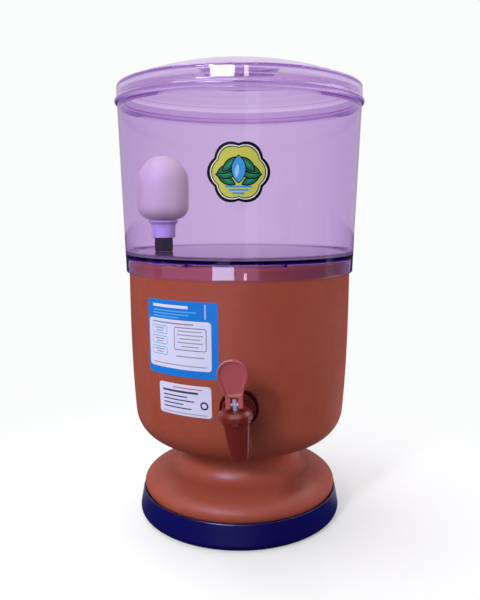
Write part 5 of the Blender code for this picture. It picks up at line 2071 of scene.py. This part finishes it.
@dataclass
class Sticker:
    """A thin printed sheet, cut flat and then laid round a wall."""

    name: str
    node: str
    body: Body
    finish: PrintedFilm
    azimuth: float
    middle: float
    wall: Callable[[float], float]
    seat: float
    corner: float = 0.003
    lift: float = 0.00008
    thickness: float = 0.00025
    columns: int = 28
    rows: int = 8
    sharp: float = 60.0

    def blank(self) -> Form:
        """The sheet's flat outline as one face in the XZ plane.

        Returns:
            The sheet.
        """
        form = Form()
        if self.finish.lobes:
            bmesh.ops.create_circle(form.bm, cap_ends=True, segments=180, radius=1.0)
            for vert in form.bm.verts:
                angle = math.atan2(vert.co.y, vert.co.x)
                vert.co *= self.finish.edge(abs(math.cos(self.finish.lobes * angle / 2)))
        else:
            bmesh.ops.create_grid(form.bm, x_segments=1, y_segments=1, size=0.5)
            bmesh.ops.scale(form.bm, verts=form.bm.verts, vec=(self.finish.width, self.finish.height, 1.0))
            bmesh.ops.bevel(form.bm, geom=form.bm.verts[:], offset=self.corner, offset_type="OFFSET",
                            segments=6, profile=0.5, affect="VERTICES", clamp_overlap=True, material=-1)
        return form.moved(turn(90.0, "X"))

    def sliced(self, form: Form) -> Form:
        """Cut the flat sheet into columns and rows, so that it can bend.

        Args:
            form: The sheet.

        Returns:
            The same sheet.
        """
        width, height = self.finish.width, self.finish.height
        for axis, size, count in (((1, 0, 0), width, self.columns), ((0, 0, 1), height, self.rows)):
            for place in spread(-size / 2, size / 2, count)[1:-1]:
                everything = form.bm.verts[:] + form.bm.edges[:] + form.bm.faces[:]
                bmesh.ops.bisect_plane(form.bm, geom=everything, plane_co=Vector(axis) * place, plane_no=axis)
        return form

    def mapped(self, form: Form) -> Form:
        """Give the flat sheet its UV map, which the print follows.

        Args:
            form: The sheet.

        Returns:
            The same sheet.
        """
        layer = form.bm.loops.layers.uv.new("print")
        for loop in (corner for face in form.bm.faces for corner in face.loops):
            place = loop.vert.co
            loop[layer].uv = (place.x / self.finish.width + 0.5, place.z / self.finish.height + 0.5)
        return form

    def laid(self, form: Form) -> Form:
        """Thicken the sheet and lay it round the wall.

        Args:
            form: The sheet.

        Returns:
            The same sheet, in its place.
        """
        for vert in form.thickened(self.thickness).bm.verts:
            height = self.middle - self.seat + vert.co.z
            radius = self.wall(height) + self.lift - vert.co.y
            angle = math.radians(self.azimuth) + vert.co.x / self.wall(height)
            vert.co = (radius * math.sin(angle), -radius * math.cos(angle), height + self.seat)
        bmesh.ops.recalc_face_normals(form.bm, faces=form.bm.faces)
        return form

    def build(self) -> None:
        """Cut, slice, map and lay the sheet."""
        form = self.laid(self.mapped(self.sliced(self.blank())))
        mount(form.piece(self.name, self.sharp), self.body, self.finish, self.node)


# Printed layouts, in millimetres from the middle of each label


def rows(x: float, y: float, step: float, widths: tuple[float, ...], height: float, colour: Colour,
         corner: float, from_left: bool = False) -> list[Print]:
    """Printed rules under one another, round their middles or from their left ends."""
    return [Print(x + width / 2 if from_left else x, y - step * row, width, height, colour, corner)
            for row, width in enumerate(widths)]


def performance_prints() -> tuple[Print, ...]:
    """A generic layout: a blue head with rules, and a white panel with outlined boxes.

    Returns:
        The prints, from the lowest up.
    """
    items = [Print(-2.2, -5.2, 67.0, 44.0, PAPER, 3.2), Print(26.0, 25.5, 0.7, 13.0, PAPER, 0.3)]
    items += [Print(-10.0, 28.6, 40.0, 2.6, PAPER, 1.0)]
    items += rows(-29.5, 24.4, 2.7, (47.0, 40.0, 30.0), 0.9, SKY, 0.4, True)
    items += [Print(-8.0, 13.6, 46.0, 1.3, GREY, 0.5)]
    for up in (7.0, -2.6, -12.2):
        items += [Print(-22.0, up, 19.0, 7.6, SKY, 1.8, 0.7)]
        items += rows(-22.0, up + 1.2, 2.4, (12.0, 9.0), 0.9, GREY, 0.4)
    items += [Print(11.0, 0.5, 32.0, 20.4, INK, 2.2, 0.6)]
    items += rows(11.0, 7.4, 3.4, (24.0, 26.0, 21.0, 25.0, 17.0), 0.9, GREY, 0.4)
    items += [Print(11.0, -15.4, 28.0, 1.0, GREY, 0.45), Print(-2.0, -23.6, 58.0, 0.8, GREY, 0.35)]
    return tuple(items)


def product_prints() -> tuple[Print, ...]:
    """A generic layout for the small label: rules, a dot and a ruled block.

    Returns:
        The prints, from the lowest up.
    """
    items = [Print(4.0, 11.2, 30.0, 0.8, RED_INK, 0.35), Print(-4.0, 7.6, 38.0, 1.9, INK, 0.7)]
    items += [Print(20.5, -3.2, 7.6, 7.6, INK, 3.7), Print(20.5, -3.2, 4.4, 4.4, PAPER, 2.1)]
    items += rows(-22.0, 3.2, 3.6, (26.0, 33.0, 22.0, 30.0), 1.1, INK, 0.45, True)
    return tuple(items + [Print(0.0, -12.2, 46.0, 0.7, GREY, 0.3)])


def badge_leaves() -> tuple[Leaf, ...]:
    """A generic sprig: dark-edged leaves fanned round a water drop.

    Returns:
        The leaves, from the lowest up.
    """
    leaves = []
    veins = ((17.0, 7.4, BLACK), (14.4, 5.2, LEAF_GREEN), (8.0, 1.6, LEAF_LIGHT))
    for side in (-1, 1):
        for lean in (116.0, 92.0, 68.0, 44.0):
            angle = math.radians(lean)
            place = (side * 11.0 * math.sin(angle), 11.0 * math.cos(angle) - 1.5)
            leaves += [Leaf(*place, length, width, -side * lean, colour) for length, width, colour in veins]
    drop = [Leaf(0.0, 2.5, 23.0, 12.4, 0.0, BLACK), Leaf(0.0, 2.5, 21.0, 10.8, 0.0, WATER)]
    return tuple(leaves + drop + [Leaf(-1.4, 1.0, 11.0, 3.2, 8.0, WATER_LIGHT)])


def badge_prints() -> tuple[Print, ...]:
    """Water under the sprig: rows of ripples."""
    return tuple(rows(0.0, -11.6, 2.7, (22.0, 17.0, 10.0), 1.5, WATER, 0.7))


# Studio

WHITE_LIGHT: Colour = (1.0, 1.0, 1.0)
WINDOW_LIGHT: Colour = (0.97, 0.97, 1.0)


@dataclass(frozen=True)
class Lamp:
    """A soft rectangular lamp."""

    name: str
    place: tuple[float, float, float]
    size: Point
    power: float
    colour: Colour = WHITE_LIGHT
    mirrored: bool = True
    lights: bool = True

    def build(self, target: Vector) -> None:
        """Add the lamp, facing a target.

        Args:
            target: Where it points.
        """
        light = bpy.data.lights.new(self.name, "AREA")
        light.shape = "RECTANGLE"
        light.size, light.size_y = self.size
        light.energy = self.power
        light.color = self.colour
        thing = bpy.data.objects.new(self.name, light)
        thing.location = self.place
        thing.rotation_euler = (target - Vector(self.place)).to_track_quat("-Z", "Y").to_euler()
        thing.visible_camera = False
        thing.visible_transmission = False
        thing.visible_glossy = self.mirrored
        thing.visible_diffuse = self.lights
        bpy.context.collection.objects.link(thing)


@dataclass
class Studio:
    """The floor, backdrop, lamps and camera."""

    white: Colour = (0.965, 0.972, 0.972)
    lens: float = 38.65
    sensor: float = 36.0
    eye: tuple[float, float, float] = (0.0005, -0.6514, 0.312)
    pitch: float = 8.17
    target: tuple[float, float, float] = (0.0, 0.0, 0.22)
    floor_radius: float = 6.0
    lamps: tuple[Lamp, ...] = (
        Lamp("window", (-0.40, -1.52, 0.78), (0.56, 0.46), 6.0, WINDOW_LIGHT),
        Lamp("window_glare", (-0.375, -1.53, 0.76), (0.56, 0.46), 13.0, WINDOW_LIGHT, True, False),
        Lamp("low_window", (-0.236, -0.912, 0.105), (0.320, 0.050), 0.75, (0.58, 0.66, 1.0), True, False),
        Lamp("glint", (0.16, -1.52, 0.725), (0.09, 0.30), 1.2, (1.0, 0.80, 0.70), True, False),
        Lamp("low_glint", (0.082, -0.912, 0.098), (0.045, 0.044), 0.08, (1.0, 0.82, 0.66), True, False),
        Lamp("door", (0.28, -1.50, 0.30), (0.32, 0.50), 0.30, (1.0, 0.96, 0.98), True, False),
        Lamp("key", (-0.78, -1.32, 1.12), (0.22, 0.22), 14.5, WHITE_LIGHT, False),
        Lamp("left_soft", (-1.5, -0.35, 0.95), (1.0, 1.0), 6.8, WHITE_LIGHT, False),
        Lamp("low_wall", (-0.62, -0.68, 0.105), (1.25, 0.056), 0.26, (0.60, 0.50, 1.0), True, False),
        Lamp("low_side", (0.10, -0.94, 0.105), (0.36, 0.056), 0.10, (0.70, 0.55, 1.0), True, False),
        Lamp("right_soft", (1.3, -0.25, 0.65), (0.8, 0.8), 3.6, WHITE_LIGHT, False),
        Lamp("right_rim", (1.2, 0.20, 0.09), (0.5, 0.14), 5.5, (1.0, 0.88, 0.96), False),
        Lamp("right_glare", (0.9, 0.3, 1.25), (0.7, 0.7), 4.0, (1.0, 0.90, 0.94), True, False),
        Lamp("sky", (-0.58, -1.00, 1.00), (0.34, 0.16), 24.0, (0.50, 0.52, 1.0), True, False),
        Lamp("ceiling", (0.0, -0.90, 1.90), (4.0, 0.10), 12.0, (0.92, 0.90, 1.0), True, False),
        Lamp("top_soft", (-0.25, 0.15, 1.75), (1.0, 1.0), 15.0),
    )

    def camera(self) -> None:
        """The camera at the photograph's viewpoint."""
        data = bpy.data.cameras.new("camera")
        data.lens = self.lens
        data.sensor_width = self.sensor
        thing = bpy.data.objects.new("camera", data)
        thing.location = self.eye
        thing.rotation_euler = (math.radians(90.0 - self.pitch), 0.0, 0.0)
        bpy.context.collection.objects.link(thing)
        bpy.context.scene.camera = thing

    def direct(self, make: Tree, path: bpy.types.Node) -> Link:
        """A mask of the rays that the camera sees, plainly or through clear plastic.

        Args:
            make: The tree to work in.
            path: Its Light Path node.

        Returns:
            The mask.
        """
        first = make.math("LESS_THAN", path.outputs["Diffuse Depth"], 0.5)
        through = make.times(path.outputs["Is Transmission Ray"], first)
        return make.math("MAXIMUM", path.outputs["Is Camera Ray"], through)

    def world(self) -> None:
        """White for the camera and through clear plastic, and a softer room for light and gloss."""
        world = bpy.data.worlds.new("studio")
        world.use_nodes = True
        make = Tree(world.node_tree)
        make.nodes.clear()
        path = make.add("LightPath", {})
        _, y, z = make.split(make.add("TexCoord", {}).outputs["Generated"])
        soft = make.ramp(y, -0.35, 0.55, 0.08, 0.85)
        mirrored = make.ramp(y, -0.20, 0.85, 0.03, 0.44)
        gloss = path.outputs["Is Glossy Ray"]
        level = make.add("Mix", {0: gloss, 2: soft, 3: mirrored}).outputs[0]
        room = make.add("CombineColor", {0: level, 1: level, 2: make.times(level, 1.03)}).outputs[0]
        above = make.times(make.ramp(z, 0.12, 0.42), make.ramp(y, 0.3, 0.8))
        room = make.blend(make.times(above, gloss), room, (0.99, 0.86, 0.98))
        colour = make.blend(self.direct(make, path), room, self.white)
        ground = make.add("Background", {"Color": colour, "Strength": 1.0})
        make.add("OutputWorld", {"Surface": ground.outputs[0]})
        bpy.context.scene.world = world

    def floor(self) -> None:
        """A pale floor that keeps the object's shadow and fades into the backdrop."""
        form = Form()
        bmesh.ops.create_circle(form.bm, cap_ends=True, segments=96, radius=self.floor_radius)
        floor = form.piece("floor")
        material, make, shader, place = new_material("floor_paper")
        far = make.ramp(make.vector("LENGTH", place), 0.12, 0.45, 0.34)
        path = make.add("LightPath", {})
        direct = self.direct(make, path)
        grain = make.times(make.noise(place, 300.0, 3.0), 0.04)
        paper = make.blend(grain, (0.90, 0.90, 0.905), (0.82, 0.82, 0.83))
        x, y, _ = make.split(place)
        behind = make.times(make.ramp(y, -0.02, 0.06), make.ramp(y, 0.60, 0.20))
        behind = make.times(behind, make.ramp(x, -0.15, 0.10, 0.30, 1.0))
        mirrored = make.blend(behind, (0.04, 0.04, 0.045), (0.75, 0.68, 0.72))
        bounce = make.blend(path.outputs["Is Glossy Ray"], (0.19, 0.19, 0.20), mirrored)
        colour = make.blend(direct, bounce, paper)
        make.fill(shader, {"Base Color": colour, "Roughness": 0.85, "Specular IOR Level": 0.1})
        mixed = make.mix_shaders(make.times(far, direct), shader, make.glow(self.white))
        make.feed(make.nodes["Material Output"].inputs["Surface"], mixed.outputs[0])
        floor.data.materials.append(material)

    def build(self) -> None:
        """Set up the view, the backdrop, the floor, the lamps and the camera."""
        bpy.context.scene.view_settings.view_transform = "Standard"
        self.world()
        self.floor()
        for lamp in self.lamps:
            lamp.build(Vector(self.target))
        self.camera()


@dataclass
class WaterFilter:
    """The whole filter, as its sub-assemblies from the ground up."""

    dish: Dish = field(default_factory=Dish)
    clay: Reservoir = field(default_factory=Reservoir)
    container: Container = field(default_factory=Container)
    lid: Lid = field(default_factory=Lid)
    candle: Candle = field(default_factory=Candle)

    def stickers(self) -> list[Sticker]:
        """The two labels on the clay and the badge on the container.

        Returns:
            The three of them.
        """
        performance = PrintedFilm("performance_print", 0.075, 0.068, BLUE, performance_prints())
        product = PrintedFilm("product_print", 0.0546, 0.029, PAPER, product_prints())
        badge = PrintedFilm("badge_print", 0.0524, 0.0524, FIELD_YELLOW, badge_prints() + badge_leaves(),
                            6, 0.02465, 0.00155, 0.25, 0.06)
        clay, box = self.clay.outer_radius, self.container.outer_radius
        return [
            Sticker("performance_label", "performance_sticker", Body.RESERVOIR, performance,
                    -29.1, 0.1975, clay, CLAY_SEAT),
            Sticker("product_label", "product_sticker", Body.RESERVOIR, product,
                    -27.5, 0.142, clay, CLAY_SEAT),
            Sticker("badge", "badge_sticker", Body.CONTAINER, badge, -0.3, 0.3406, box, BOX_SEAT),
        ]

    def build(self) -> None:
        """Build every sub-assembly in order."""
        tap = Tap(self.clay)
        self.dish.build()
        self.clay.build(tap)
        tap.build()
        self.container.build(self.candle)
        self.candle.build()
        FloatValve(self.candle).build()
        self.lid.build()
        for sticker in self.stickers():
            sticker.build()


def main() -> None:
    """Build the studio and the filter."""
    logging.basicConfig(level=logging.INFO, format="%(name)s: %(message)s")
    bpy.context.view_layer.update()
    Studio().build()
    WaterFilter().build()


if __name__ == "__main__":
    main()
